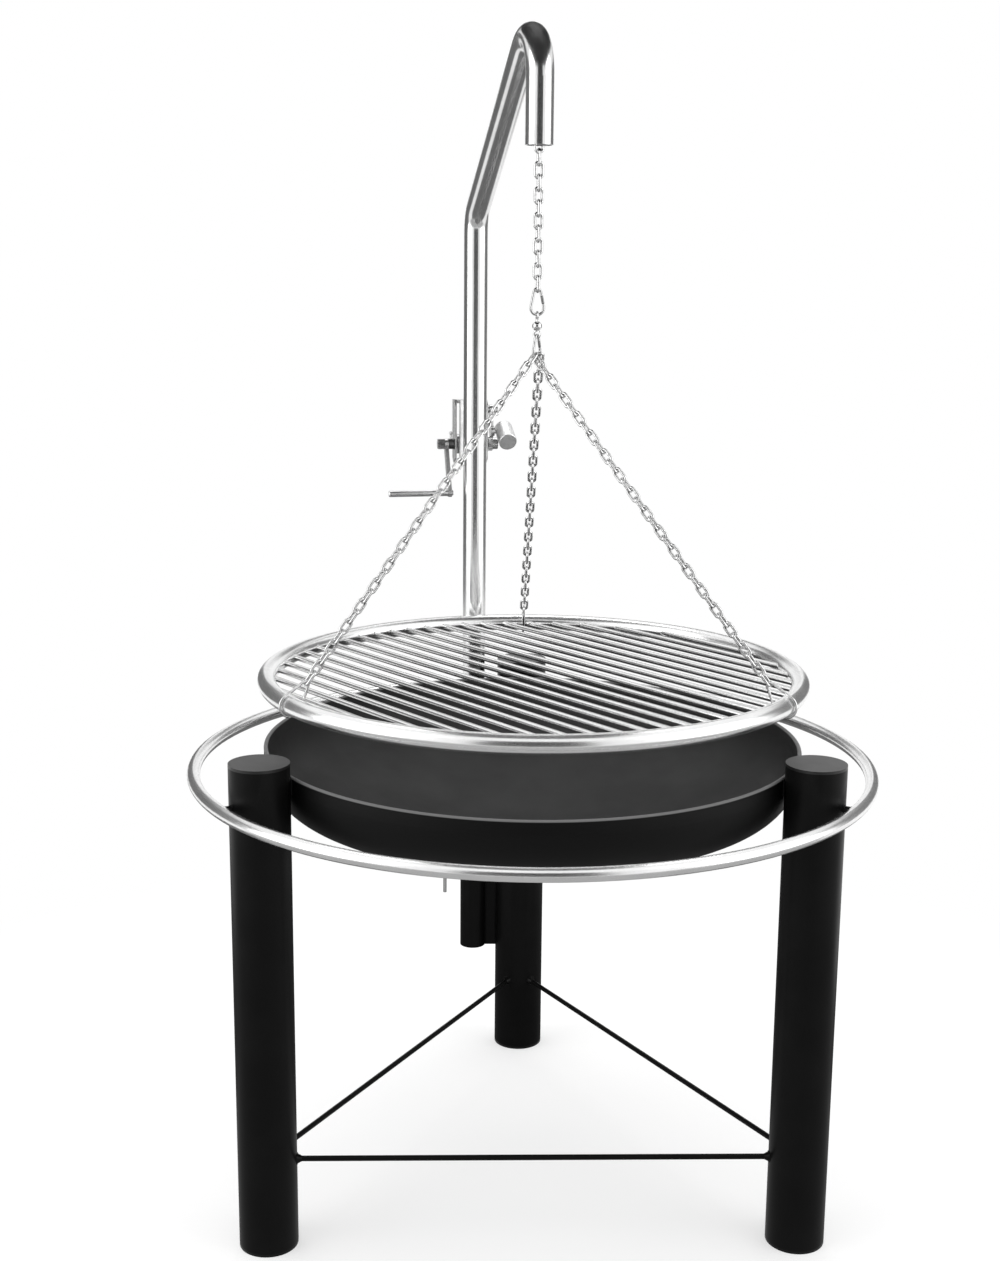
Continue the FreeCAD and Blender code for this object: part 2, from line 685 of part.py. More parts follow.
def pawl():
    """Flat pawl hanging over the ratchet wheel, with a round weight on a cross stud."""
    aim = math.radians(s.pawl_nose_angle)
    reach_out = ratchet_r + s.pawl_nose_gap
    tip = (shaft_x + reach_out * math.cos(aim), shaft_z + reach_out * math.sin(aim))
    nose = s.pawl_nose_length
    back, front = [(tip[0] + nose * math.cos(turn), tip[1] + nose * math.sin(turn))
                   for turn in (aim + math.radians(30), aim - math.radians(30))]
    wide, boss = s.pawl_bar_width / 2, s.pawl_boss_diameter / 2
    heel, inset = ratchet_r + s.pawl_heel, ratchet_r - s.pawl_ear_inset
    rise = ratchet_r + s.pawl_back
    bar = flat([(pivot[0] - wide, pivot[1]), (shaft_x + ratchet_r / 2, shaft_z + rise), back, tip, front,
                (shaft_x + heel, shaft_z + heel), (pivot[0] + wide, pivot[1])], pawl_in, pawl_out)
    ear = flat([(shaft_x + inset, stud[1] - s.pawl_ear_rise), (stud[0], stud[1] - boss),
                (stud[0], stud[1] + boss), (shaft_x + inset, stud[1] + boss + s.pawl_ear_rise)], pawl_in, pawl_out)
    form = bar.fuse([ear, bar_y(boss, pawl_in, pawl_out, *pivot), bar_y(boss, pawl_in, pawl_out, *stud)])
    form = form.cut(hole_y(s.pawl_pivot_diameter / 2 + s.running_gap, pawl_in, pawl_out, *pivot))
    form = form.cut(hole_y(s.stud_diameter / 2 + s.seam_gap, pawl_in, pawl_out, *stud)).removeSplitter()
    shaped("ratchet_pawl", form.Solids[0], MAST)

    weight_y = pawl_out + s.weight_side_gap + s.weight_diameter / 2
    shaped("pawl_stud", bar_y(s.stud_diameter / 2, pawl_in, weight_y, *stud), MAST)
    tilt = math.radians(s.weight_tilt)
    ahead = V(math.cos(tilt), 0, -math.sin(tilt))
    rear = V(stud[0], weight_y, stud[1]) - ahead * s.weight_back
    radius, edge = s.weight_diameter / 2, s.weight_chamfer
    weight = turned([(0, 0), (radius - edge, 0), (radius, edge), (radius, s.weight_length - edge),
                     (radius - edge, s.weight_length), (0, s.weight_length)])
    weight.Placement = place(rear, ahead)
    hole = bar_y(s.stud_diameter / 2 + s.seam_gap, pawl_out, weight_y + s.seam_gap, *stud)
    shaped("pawl_weight", weight.cut(hole).Solids[0], MAST)


# Chain link lines
link_side = (3 * s.chain_wire + 2 * s.chain_side_gap) / 2 - s.chain_wire / 2
link_inside = s.chain_pitch + s.chain_gap
link_straight = (link_inside + s.chain_wire) / 2 - link_side


def chain_link():
    """One welded link in the local X-Z plane, long along Z."""
    low, high = V(link_side, 0, -link_straight), V(link_side, 0, link_straight)
    left_high, left_low = V(-link_side, 0, link_straight), V(-link_side, 0, -link_straight)
    return rod_along([Run(low, high), Bend(high, V(0, 0, link_straight), NORTH * -1, 180),
                      Run(left_high, left_low), Bend(left_low, V(0, 0, -link_straight), NORTH * -1, 180)],
                     s.chain_wire / 2)


LINK = chain_link()


def chain_run(first, down, normal, count, pitch=s.chain_pitch):
    """Links one below the other, each turned a quarter against the one before."""
    links = []
    for index in range(count):
        face = normal if index % 2 == 0 else down.cross(normal)
        form = LINK.copy()
        form.Placement = axes_place(first + down * (index * pitch), face.cross(down * -1), face, down * -1)
        links.append(form)
    return links


def pear_lines(wide, narrow, span):
    """Tangent points of a pear-shaped loop: right low, right high, left low, left high, and the lean."""
    lean = math.asin((wide - narrow) / span)
    out = V(math.cos(lean), 0, math.sin(lean))
    mirror = V(-out.x, 0, out.z)
    top = UP * span
    return out * wide, top + out * narrow, mirror * wide, top + mirror * narrow, math.degrees(lean)


def pear_loop(wide, narrow, span):
    """Path of a closed pear-shaped loop round the local origin, narrow end up."""
    right_low, right_high, left_low, left_high, lean = pear_lines(wide, narrow, span)
    return [Bend(right_low, ORIGIN, NORTH, 180 + 2 * lean), Run(left_low, left_high),
            Bend(left_high, UP * span, NORTH, 180 - 2 * lean), Run(right_high, right_low)]


def carabiner(label, wide, span, placement):
    """Pear-shaped snap hook of round wire with a straight gate on its right side."""
    right_low, right_high, left_low, left_high, lean = pear_lines(wide, s.carabiner_top, span)
    radius = s.carabiner_wire / 2
    side = right_high - right_low
    start, end = right_low + side * s.gate_start, right_low + side * s.gate_end
    path = [Run(start, right_low), Bend(right_low, ORIGIN, NORTH, 180 + 2 * lean), Run(left_low, left_high),
            Bend(left_high, UP * span, NORTH, 180 - 2 * lean), Run(right_high, end)]
    shaped(label, rod_along(path, radius), placement)
    step = FreeCAD.Vector(side).normalize()
    hinge = start + step * (radius + s.gate_gap)
    gate = rod_along([Run(hinge, end - step * s.gate_gap)], radius).fuse(Part.makeSphere(radius, hinge))
    shaped(label + "_gate", gate.removeSplitter().Solids[0], placement)
    return placement.multVec(hinge)


# Heights on the hoist line, from the mouth of the hook downwards
wire_r = s.chain_wire / 2
hook_r = s.carabiner_wire / 2
eye_r = s.swivel_wire / 2
top_link_z = mouth_z + s.hoist_insert - link_inside / 2 - s.chain_wire
upper_links, lower_links = int(s.hoist_upper_links), int(s.hoist_lower_links)
top_link_aside = (upper_links + lower_links) % 2 == 0
swing_z = top_link_z - upper_links * s.chain_pitch
lower_link_z = swing_z - s.chain_pitch
last_link_z = lower_link_z - (lower_links - 1) * s.chain_pitch
rope_eye_z = top_link_z + link_inside / 2 - s.chain_gap - rope_r + s.rope_eye
hook_top_z = last_link_z - link_inside / 2 + s.chain_gap + hook_r
hook_low_z = hook_top_z - s.carabiner_top - s.carabiner_span
eye_z = hook_low_z - s.carabiner_bottom + hook_r + s.chain_gap + eye_r - s.swivel_eye
ball_r = s.swivel_ball / 2
ball_z = eye_z - s.swivel_eye - eye_r - s.swivel_neck - ball_r
low_eye_z = ball_z - ball_r + eye_r / 3 - s.swivel_eye
junction_top_z = low_eye_z - s.swivel_eye + eye_r + s.chain_gap + hook_r
junction_z = junction_top_z - s.carabiner_top - s.junction_span
junction_side = polar(1, LEG_ANGLES["front_right"] + 90, 0)
DOWN = UP * -1


def hoist():
    """Single chain, upper carabiner and swivel, from the mouth of the hook down."""
    first_face = sideways if top_link_aside else forward
    links = chain_run(UP * top_link_z, DOWN, first_face, upper_links + 1 + lower_links)
    shaped("hoist_chain_upper", Part.makeCompound(links[:upper_links]))
    hoist_rope(rope_eye_z)
    shaped("swing_link", links[upper_links])
    shaped("hoist_chain_lower", Part.makeCompound(links[upper_links + 1:]))
    normal = forward * -1
    frame = axes_place(UP * hook_low_z, sideways, normal, UP)
    hinge = carabiner("hoist_carabiner", s.carabiner_bottom, s.carabiner_span, frame)

    stem, head = s.swivel_stem / 2, s.swivel_head / 2
    gap = s.swivel_head_gap
    deep = ball_r / 4
    eye = Part.makeTorus(s.swivel_eye, eye_r, UP * eye_z, sideways)
    post = Part.makeCylinder(stem, eye_z - s.swivel_eye - ball_z, UP * ball_z)
    button = Part.makeCylinder(head, 2 * deep, UP * (ball_z - deep))
    shaped("swivel_upper", eye.fuse([post, button]).removeSplitter().Solids[0])
    ball = Part.makeSphere(ball_r, UP * ball_z).fuse(
        Part.makeTorus(s.swivel_eye, eye_r, UP * low_eye_z, junction_side))
    room = Part.makeCylinder(head + gap, 2 * (deep + gap), UP * (ball_z - deep - gap))
    ball = ball.cut(room).cut(Part.makeCylinder(stem + s.running_gap, 2 * ball_r, UP * ball_z))
    shaped("swivel_lower", ball.Solids[0])
    return hinge


# Grate lines
tube_r = s.grate_tube_diameter / 2
grate_z = s.leg_height + s.grate_above_legs
grate_circle = reach - mast_r - s.grate_mast_gap - tube_r
bail_r = s.bail_wire / 2
bail_wide = tube_r + s.bail_gap + bail_r


def grate_chain(label, azimuth, spread):
    """Chain from the lower carabiner to a bail round the ring, and that bail."""
    turn = math.radians(spread)
    start = UP * junction_z + (junction_side * math.sin(turn) - UP * math.cos(turn)) * s.junction_bottom
    end = polar(grate_circle, azimuth, grate_z)
    down = (end - start).normalize()
    across = polar(1, azimuth + 90, 0)
    across = (across - down * across.dot(down)).normalize()
    level = spread == 0
    first = link_inside / 2 - hook_r - (s.chain_gap if level else s.junction_gap)
    last = link_inside / 2 - bail_r - s.chain_gap
    room = (end - start).Length - first - last - s.bail_length
    steps = math.ceil(room / s.chain_pitch)
    if (steps % 2 == 1) != level:
        steps += 1
    normal = across if level else down.cross(across)
    shaped(label, Part.makeCompound(chain_run(start + down * first, down, normal, steps + 1, room / steps)))
    bail = rod_along(pear_loop(bail_wide, s.bail_top, s.bail_length - s.bail_top), bail_r)
    bail.Placement = axes_place(end, down.cross(across), across, down * -1)
    return bail


def bar_offsets(across):
    """Distances of the bars from the middle, spaced so that the bails pass between them."""
    inner = grate_circle - bail_wide
    rear, left, right = [across.dot(polar(inner, azimuth, 0)) for azimuth in LEG_ANGLES.values()]
    low, high = sorted((right % s.bar_pitch, rear % s.bar_pitch))
    middle = (low + high) / 2
    if high - low < s.bar_pitch / 2:
        middle += s.bar_pitch / 2
    first = left + bail_r + s.bar_diameter
    last = grate_circle - tube_r - s.bar_diameter
    count = range(math.ceil((first - middle) / s.bar_pitch), math.floor((last - middle) / s.bar_pitch) + 1)
    return [middle + index * s.bar_pitch for index in count]


def grate():
    """Lower carabiner, three chains with their bails, round tube ring and its bars."""
    frame = axes_place(UP * junction_z, junction_side, UP.cross(junction_side), UP)
    hinge = carabiner("lower_carabiner", s.junction_bottom, s.junction_span, frame)
    bails = [grate_chain("grate_chain_left", LEG_ANGLES["front_left"], -s.junction_spread),
             grate_chain("grate_chain_right", LEG_ANGLES["front_right"], 0),
             grate_chain("grate_chain_rear", LEG_ANGLES["rear"], s.junction_spread)]
    shaped("grate_hangers", Part.makeCompound(bails))

    ring = doc.addObject("Part::Torus", "grate_ring")
    ring.Radius1 = grate_circle
    bind(ring, Radius2="grate_tube_diameter / 2", Placement__Base__z="leg_height + grate_above_legs")
    keep("grate_ring", ring)

    room = Part.makeTorus(grate_circle, tube_r + s.seam_gap, UP * grate_z)
    along, across = polar(1, s.bar_direction, 0), polar(1, s.bar_direction + 90, 0)
    bars = []
    for offset in bar_offsets(across):
        half = math.sqrt(grate_circle ** 2 - offset ** 2)
        base = UP * grate_z + across * offset - along * half
        bars.append(Part.makeCylinder(s.bar_diameter / 2, 2 * half, base, along).cut(room).Solids[0])
    shaped("grate_bars", Part.makeCompound(bars))
    return hinge


for side, azimuth in LEG_ANGLES.items():
    leg(side, azimuth)
leg_discs("leg_top_caps", s.leg_height - s.leg_cap)
leg_discs("leg_foot_plates", 0)
brace("brace_front", LEG_ANGLES["front_left"], LEG_ANGLES["front_right"])
brace("brace_left", LEG_ANGLES["rear"], LEG_ANGLES["front_left"])
brace("brace_right", LEG_ANGLES["front_right"], LEG_ANGLES["rear"])
fire_bowl()
guard_rail()
socket()
clamp()
mast_arm()
winch_frame()
crank()
pawl()
hoist_hinge = hoist()
grate_hinge = grate()

# Check every object, then write one file a node
doc.recompute()
for obj in doc.Objects:
    if any(word in obj.State for word in ("Invalid", "Error")):
        raise RuntimeError("not computed: " + obj.Name)
os.makedirs("parts", exist_ok=True)
for obj in nodes:
    if obj.Shape.isNull() or not obj.Shape.isValid() or not obj.Shape.Solids:
        raise RuntimeError("bad shape: " + obj.Label)
    obj.Shape.exportStep("parts/" + obj.Label + ".step")
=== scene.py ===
"""Looks of the swing grill: finishes, weld beads, hoist rope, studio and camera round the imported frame."""

import json
import logging
import math
from abc import ABC, abstractmethod
from dataclasses import dataclass
from enum import Enum
from typing import Any, Iterable

import bpy
import numpy as np
from mathutils import Matrix, Vector

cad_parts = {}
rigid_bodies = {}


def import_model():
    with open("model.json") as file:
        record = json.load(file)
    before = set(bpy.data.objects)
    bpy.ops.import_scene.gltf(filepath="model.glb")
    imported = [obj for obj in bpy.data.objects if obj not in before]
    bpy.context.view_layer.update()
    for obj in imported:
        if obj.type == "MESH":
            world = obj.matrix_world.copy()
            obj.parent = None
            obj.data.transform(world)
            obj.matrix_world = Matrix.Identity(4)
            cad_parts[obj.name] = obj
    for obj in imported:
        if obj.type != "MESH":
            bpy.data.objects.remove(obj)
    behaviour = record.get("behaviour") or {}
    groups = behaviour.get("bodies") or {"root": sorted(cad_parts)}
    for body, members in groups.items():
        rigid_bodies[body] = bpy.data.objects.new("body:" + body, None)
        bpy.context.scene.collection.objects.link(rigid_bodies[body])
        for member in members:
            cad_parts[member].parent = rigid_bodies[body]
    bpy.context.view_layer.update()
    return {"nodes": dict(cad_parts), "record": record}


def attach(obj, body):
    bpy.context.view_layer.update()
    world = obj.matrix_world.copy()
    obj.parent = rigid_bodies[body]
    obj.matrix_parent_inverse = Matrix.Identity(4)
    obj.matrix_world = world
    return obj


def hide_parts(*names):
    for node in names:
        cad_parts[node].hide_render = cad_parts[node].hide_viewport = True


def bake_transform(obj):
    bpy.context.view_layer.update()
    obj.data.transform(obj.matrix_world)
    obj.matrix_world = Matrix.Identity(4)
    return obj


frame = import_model()
log = logging.getLogger("swing_grill")
Array = np.ndarray
Colour = tuple[float, float, float, float]
Pair = tuple[float, float]
Triple = tuple[float, float, float]
Socket = bpy.types.NodeSocket
Tree = bpy.types.NodeTree

UP = np.array([0.0, 0.0, 1.0])
WHITE: Colour = (1.0, 1.0, 1.0, 1.0)
# Measures that several sub-assemblies share, in metres and degrees. Ahead is the level direction from the mast
# to the hook, and aside is to its right, seen from the front.
LEG_ANGLES = (90.0, 210.0, 330.0)
MAST_AXIS = np.array([-0.084, 0.44255, 0.0])
AHEAD = np.array([0.1864795891, -0.9824588352, 0.0])
ASIDE = np.array([-AHEAD[1], AHEAD[0], 0.0])
GRATE_CIRCLE = 0.3940014
GRATE_Z = 0.7963
# Bands of a noise's values that are stretched over two tones, and over a finish's roughness.
TONE_BAND: Pair = (0.35, 0.65)
GLOSS_BAND: Pair = (0.3, 0.7)
# Shares of a weld bead's radius: between its puddles, the swell in them, and at an open end.
BEAD_LOW, BEAD_SWELL, BEAD_TIP = 0.86, 0.14, 0.35
BEAD_STEPS = 4
BEAD_SIDES = 8
SEAM_POINTS = 40


class Lay(Enum):
    """Direction of the polishing lines on a metal surface, as the stretch of its pattern."""

    EVEN = (1.0, 1.0, 1.0)
    AROUND_UPRIGHT = (0.04, 0.04, 1.0)


class Seen(Enum):
    """What a stage piece shows itself to."""

    EVERYTHING = "everything"
    REFLECTIONS = "reflections"


def linear(hex_colour: str) -> Colour:
    """Turn an sRGB hex colour into linear values, by the sRGB curve.

    Args:
        hex_colour: colour such as "#1c1c1c".

    Returns:
        Linear red, green and blue with full opacity.
    """
    shares = [int(hex_colour[i:i + 2], 16) / 255 for i in (1, 3, 5)]
    red, green, blue = (c / 12.92 if c <= 0.04045 else ((c + 0.055) / 1.055) ** 2.4 for c in shares)
    return red, green, blue, 1.0


def per_metre(size_mm: float) -> float:
    """Texture scale for a feature of a real size in millimetres."""
    return 1000.0 / size_mm


def add(tree: Tree, kind: str, inputs: dict[Any, Any] | None = None, **settings: Any) -> bpy.types.Node:
    """Add one node with its settings, values and links.

    Args:
        tree: tree that gets the node.
        kind: Blender's name of the node type.
        inputs: socket name or number, each with a value or the socket that feeds it.
        settings: the node's own properties.

    Returns:
        The new node.
    """
    node = tree.nodes.new(kind)
    for name, value in settings.items():
        setattr(node, name, value)
    for key, value in (inputs or {}).items():
        if isinstance(value, Socket):
            tree.links.new(value, node.inputs[key])
        else:
            node.inputs[key].default_value = value
    return node


def new_material(name: str) -> bpy.types.Material:
    """Material with an empty node tree."""
    material = bpy.data.materials.new(name)
    material.use_nodes = True
    material.node_tree.nodes.clear()
    return material


@dataclass(frozen=True)
class Finish(ABC):
    """Procedural finish for one of the record's material slots, with its least and most roughness."""

    name: str
    slot: str
    gloss: Pair

    def build(self) -> bpy.types.Material:
        """Make the material.

        Returns:
            The Blender material.
        """
        material = new_material(self.name)
        self.shade(material.node_tree, add(material.node_tree, "ShaderNodeTexCoord").outputs["Object"])
        return material

    @abstractmethod
    def shade(self, tree: Tree, here: Socket) -> None:
        """Add the finish's own nodes.

        Args:
            tree: tree that gets them.
            here: Object coordinates.
        """

    @staticmethod
    def clouds(tree: Tree, here: Socket, size_mm: float, detail: float,
               tones: tuple[str, str]) -> tuple[Socket, Socket]:
        """Soft clouds of two tones: the middle band of a noise runs from the first to the second.

        Args:
            tree: tree that gets the nodes.
            here: Object coordinates.
            size_mm: size of a cloud.
            detail: detail of the noise.
            tones: the two tones as sRGB hex.

        Returns:
            The noise and the tone.
        """
        cloud = add(tree, "ShaderNodeTexNoise", {"Vector": here, "Scale": per_metre(size_mm), "Detail": detail})
        share = add(tree, "ShaderNodeMapRange", {"Value": cloud.outputs["Fac"], "From Min": TONE_BAND[0],
                                                 "From Max": TONE_BAND[1]})
        first, second = (linear(tone) for tone in tones)
        tone = add(tree, "ShaderNodeMix", {0: share.outputs["Result"], 6: first, 7: second}, data_type="RGBA")
        return cloud.outputs["Fac"], tone.outputs[2]

    def surface(self, tree: Tree, tone: Socket, dulling: Socket, height: Socket, relief: Pair,
                values: dict[str, float]) -> None:
        """Shade the surface with a tone, a roughness that follows one noise and a relief that follows another.

        Args:
            tree: tree that gets the nodes.
            tone: base colour.
            dulling: noise whose middle band runs over the finish's roughness.
            height: noise for the relief.
            relief: the relief's strength, and its depth in metres.
            values: other values of the shader.
        """
        rough = add(tree, "ShaderNodeMapRange", {"Value": dulling, "From Min": GLOSS_BAND[0],
                                                 "From Max": GLOSS_BAND[1], "To Min": self.gloss[0],
                                                 "To Max": self.gloss[1]})
        bump = add(tree, "ShaderNodeBump", {"Height": height, "Strength": relief[0], "Distance": relief[1]})
        shader = add(tree, "ShaderNodeBsdfPrincipled", {
            "Base Color": tone, "Roughness": rough.outputs["Result"], "Normal": bump.outputs["Normal"],
            **values})
        add(tree, "ShaderNodeOutputMaterial", {"Surface": shader.outputs["BSDF"]})


@dataclass(frozen=True)
class Metal(Finish):
    """Bare metal: two close tones in soft clouds, fine polishing lines in its gloss and bump.

    The lines are about ten times as coarse as real ones, which are too fine to show in the render.
    """

    light: str
    dark: str
    cloud_mm: float
    line_mm: float
    bump: float
    lay: Lay = Lay.EVEN
    depth: float = 0.0003
    cloud_detail: float = 2.0
    line_detail: float = 3.0

    def shade(self, tree: Tree, here: Socket) -> None:
        """Add the clouds and the lines.

        Args:
            tree: tree that gets the nodes.
            here: Object coordinates.
        """
        laid = add(tree, "ShaderNodeMapping", {"Vector": here, "Scale": self.lay.value})
        lines = add(tree, "ShaderNodeTexNoise", {
            "Vector": laid.outputs["Vector"], "Scale": per_metre(self.line_mm),
            "Detail": self.line_detail}).outputs["Fac"]
        _, tone = self.clouds(tree, here, self.cloud_mm, self.cloud_detail, (self.light, self.dark))
        self.surface(tree, tone, lines, lines, (self.bump, self.depth), {"Metallic": 1.0})


@dataclass(frozen=True)
class PowderCoat(Finish):
    """Baked powder coat: nearly black, with the slight orange peel that breaks up its soft sheen."""

    light: str
    dark: str
    peel_mm: float
    bump: float
    sheen_level: float
    depth: float = 0.0004
    cloud_mm: float = 70.0
    cloud_detail: float = 3.0
    peel_detail: float = 2.0

    def shade(self, tree: Tree, here: Socket) -> None:
        """Add the clouds and the orange peel.

        Args:
            tree: tree that gets the nodes.
            here: Object coordinates.
        """
        peel = add(tree, "ShaderNodeTexNoise", {"Vector": here, "Scale": per_metre(self.peel_mm),
                                                "Detail": self.peel_detail}).outputs["Fac"]
        cloud, tone = self.clouds(tree, here, self.cloud_mm, self.cloud_detail, (self.light, self.dark))
        self.surface(tree, tone, cloud, peel, (self.bump, self.depth), {"Specular IOR Level": self.sheen_level})


@dataclass(frozen=True)
class HeatPaint(Finish):
    """Heat-proof paint on the bowl: black outside, dull grey inside, and a painted highlight on the lip."""

    outside: str
    inside: str
    inside_dark: str
    # Tone of the lip's band: a painted highlight of the rounded rim.
    lip: str
    crown_z: float
    lip_z: float
    sheen_level: float
    lip_fade: float = 0.0006
    cloud_mm: float = 90.0
    cloud_detail: float = 4.0
    peel_mm: float = 1.4
    peel_detail: float = 3.0
    bump: float = 0.08
    depth: float = 0.0004

    def shade(self, tree: Tree, here: Socket) -> None:
        """Add the tones and the peel; a face of the inside looks towards the middle of the crown's sphere.

        Args:
            tree: tree that gets the nodes.
            here: Object coordinates.
        """
        facing = add(tree, "ShaderNodeNewGeometry").outputs["Normal"]
        inward = add(tree, "ShaderNodeVectorMath", {0: (0.0, 0.0, self.crown_z), 1: here}, operation="SUBTRACT")
        looks_in = add(tree, "ShaderNodeVectorMath", {0: facing, 1: inward.outputs[0]}, operation="DOT_PRODUCT")
        within = add(tree, "ShaderNodeMath", {0: looks_in.outputs["Value"], 1: 0.0}, operation="GREATER_THAN")
        level = add(tree, "ShaderNodeSeparateXYZ", {0: here})
        # Band at the lip that takes the painted highlight tone.
        lip_highlight_mask = add(tree, "ShaderNodeMapRange", {"Value": level.outputs["Z"],
                                                  "From Min": self.lip_z - self.lip_fade,
                                                  "From Max": self.lip_z + self.lip_fade})
        cloud, dull = self.clouds(tree, here, self.cloud_mm, self.cloud_detail, (self.inside, self.inside_dark))
        side = add(tree, "ShaderNodeMix", {0: within.outputs[0], 6: linear(self.outside), 7: dull},
                   data_type="RGBA")
        tone = add(tree, "ShaderNodeMix", {0: lip_highlight_mask.outputs["Result"], 6: side.outputs[2],
                                           7: linear(self.lip)}, data_type="RGBA")
        peel = add(tree, "ShaderNodeTexNoise", {"Vector": here, "Scale": per_metre(self.peel_mm),
                                                "Detail": self.peel_detail}).outputs["Fac"]
        self.surface(tree, tone.outputs[2], cloud, peel, (self.bump, self.depth),
                     {"Specular IOR Level": self.sheen_level})


# Drawn and polished stainless tube: bright, with faint lines round it that soften its reflections.
TUBE = Metal("polished stainless tube", "stainless_tube", (0.16, 0.23), light="#ebebeb", dark="#e0e0e0",
             cloud_mm=80.0, line_mm=0.5, bump=0.012, lay=Lay.AROUND_UPRIGHT)
# Satin stainless rings: brushed after bending, so their highlights spread wide and soft.
RING = Metal("satin stainless ring", "stainless_tube", (0.21, 0.27), light="#f8f8f8", dark="#f0f0f0",
             cloud_mm=60.0, line_mm=0.5, bump=0.015)
# Bright ground rod of the crank handle and tommy bar: nearly as shiny as the grate's bars.
ROD = Metal("ground stainless rod", "stainless_fittings", (0.12, 0.20), light="#eeeeee", dark="#e4e4e4",
            cloud_mm=20.0, line_mm=0.6, bump=0.01)
# Turned stainless weight: fine tool marks make it paler and duller than the plates.
TURNED = Metal("turned stainless weight", "stainless_fittings", (0.36, 0.46), light="#eeeeee", dark="#e0e0e0",
               cloud_mm=10.0, line_mm=0.5, bump=0.02)
# Drawn stainless bar: pale, and the shiniest of the stainless pieces.
BAR = Metal("drawn stainless bar", "stainless_bars", (0.10, 0.17), light="#f6f6f6", dark="#eeeeee",
            cloud_mm=40.0, line_mm=0.6, bump=0.008)
# Stainless fittings, turned and cut from plate: satin, with finer clouds.
FITTING = Metal("satin stainless fittings", "stainless_fittings", (0.18, 0.30), light="#dadada", dark="#c6c6c6",
                cloud_mm=15.0, line_mm=0.4, bump=0.04)
# Galvanised chain: bright zinc with small dull patches.
CHAIN = Metal("bright galvanised chain", "chain_steel", (0.09, 0.18), light="#ececec", dark="#cecece",
              cloud_mm=5.0, line_mm=0.5, bump=0.03)
# Polished wire of the carabiners: a shade darker than the zinc, so that the hooks stand out from the chain.
SNAP = Metal("polished snap hook", "chain_steel", (0.08, 0.15), light="#cfcfcf", dark="#bcbcbc",
             cloud_mm=6.0, line_mm=0.5, bump=0.02)
# Gates of the carabiners: darker and rougher than the wire that they close.
GATE = Metal("darker gate steel", "chain_steel", (0.22, 0.32), light="#8a8a8a", dark="#747474",
             cloud_mm=5.0, line_mm=0.5, bump=0.03)
# Oiled steel of the bushes: dark grey beside the stainless cheeks, with a soft sheen.
DARK = Metal("dark oiled steel", "dark_steel", (0.20, 0.32), light="#6e6e6e", dark="#585858",
             cloud_mm=8.0, line_mm=0.5, bump=0.05)
# Satin black powder coat on the stand: dark and even, with a faint soft gleam on its edges.
COAT = PowderCoat("black powder coat", "black_powder_coat", (0.30, 0.38), light="#080808", dark="#0b0b0b",
                  peel_mm=1.3, bump=0.05, sheen_level=0.12)
# Same coat on the flat caps, lighter and glossier than on the tubes: a painted highlight of the sky on the
# tops.
LIT_CAP_COAT = PowderCoat("powder coat on flat caps", "black_powder_coat", (0.30, 0.38), light="#0e0e0e", dark="#121212",
                 peel_mm=1.3, bump=0.03, sheen_level=0.50)
# Heat-proof paint on the bowl: dull grey inside against the black outside; the pale lip is a painted highlight.
BOWL = HeatPaint("heat-proof paint", "bowl_steel", (0.44, 0.54), outside="#060606", inside="#353535",
                 inside_dark="#313131", lip="#6a6a6a", crown_z=1.325, lip_z=0.6952, sheen_level=0.17)
FINISHES: tuple[Finish, ...] = (TUBE, BAR, FITTING, CHAIN, DARK, COAT, BOWL)
OWN_FINISH: dict[str, Finish] = {
    "guard_rail_ring": RING, "grate_ring": RING, "crank_handle": ROD, "clamp_tommy_bar": ROD,
    "pawl_weight": TURNED, "hoist_carabiner": SNAP, "lower_carabiner": SNAP, "hoist_carabiner_gate": GATE,
    "lower_carabiner_gate": GATE, "leg_top_caps": LIT_CAP_COAT}


@dataclass(frozen=True)
class Surface:
    """Points and faces of a mesh before it becomes an object."""

    points: Array
    quads: Array
    caps: tuple[tuple[int, ...], ...] = ()

    @staticmethod
    def join(parts: Iterable["Surface"]) -> "Surface":
        """Put several surfaces into one, with face numbers moved on past the points before them.

        Args:
            parts: surfaces to join.

        Returns:
            The joined surface.
        """
        several = list(parts)
        starts = np.cumsum([0] + [len(part.points) for part in several[:-1]])
        pairs = list(zip(several, starts))
        caps = tuple(tuple(int(i + start) for i in cap) for part, start in pairs for cap in part.caps)
        return Surface(np.concatenate([part.points for part in several]),
                       np.concatenate([part.quads + start for part, start in pairs]), caps)

    def copies(self, turns: Array, places: Array) -> "Surface":
        """Repeat the surface: each copy is turn times point plus place.

        Args:
            turns: one 3 by 3 matrix a copy.
            places: one point a copy.

        Returns:
            All the copies in one surface.
        """
        moved = np.einsum("kij,nj->kni", turns, self.points) + places[:, None]
        shift = np.arange(len(places)) * len(self.points)
        quads = self.quads[None] + shift[:, None, None]
        caps = tuple(tuple(int(i + s) for i in cap) for s in shift for cap in self.caps)
        return Surface(moved.reshape(-1, 3), quads.reshape(-1, 4), caps)


def unit(vectors: Array) -> Array:
    """Vectors at length one."""
    return vectors / np.linalg.norm(vectors, axis=-1, keepdims=True)


def ring(count: int) -> Array:
    """Evenly spaced angles of a full turn."""
    return np.linspace(0.0, 2 * math.pi, count, endpoint=False)


def polar(radius: float, degrees: float, z: float = 0.0) -> Array:
    """Point at a radius and azimuth."""
    turn = math.radians(degrees)
    return np.array([radius * math.cos(turn), radius * math.sin(turn), z])


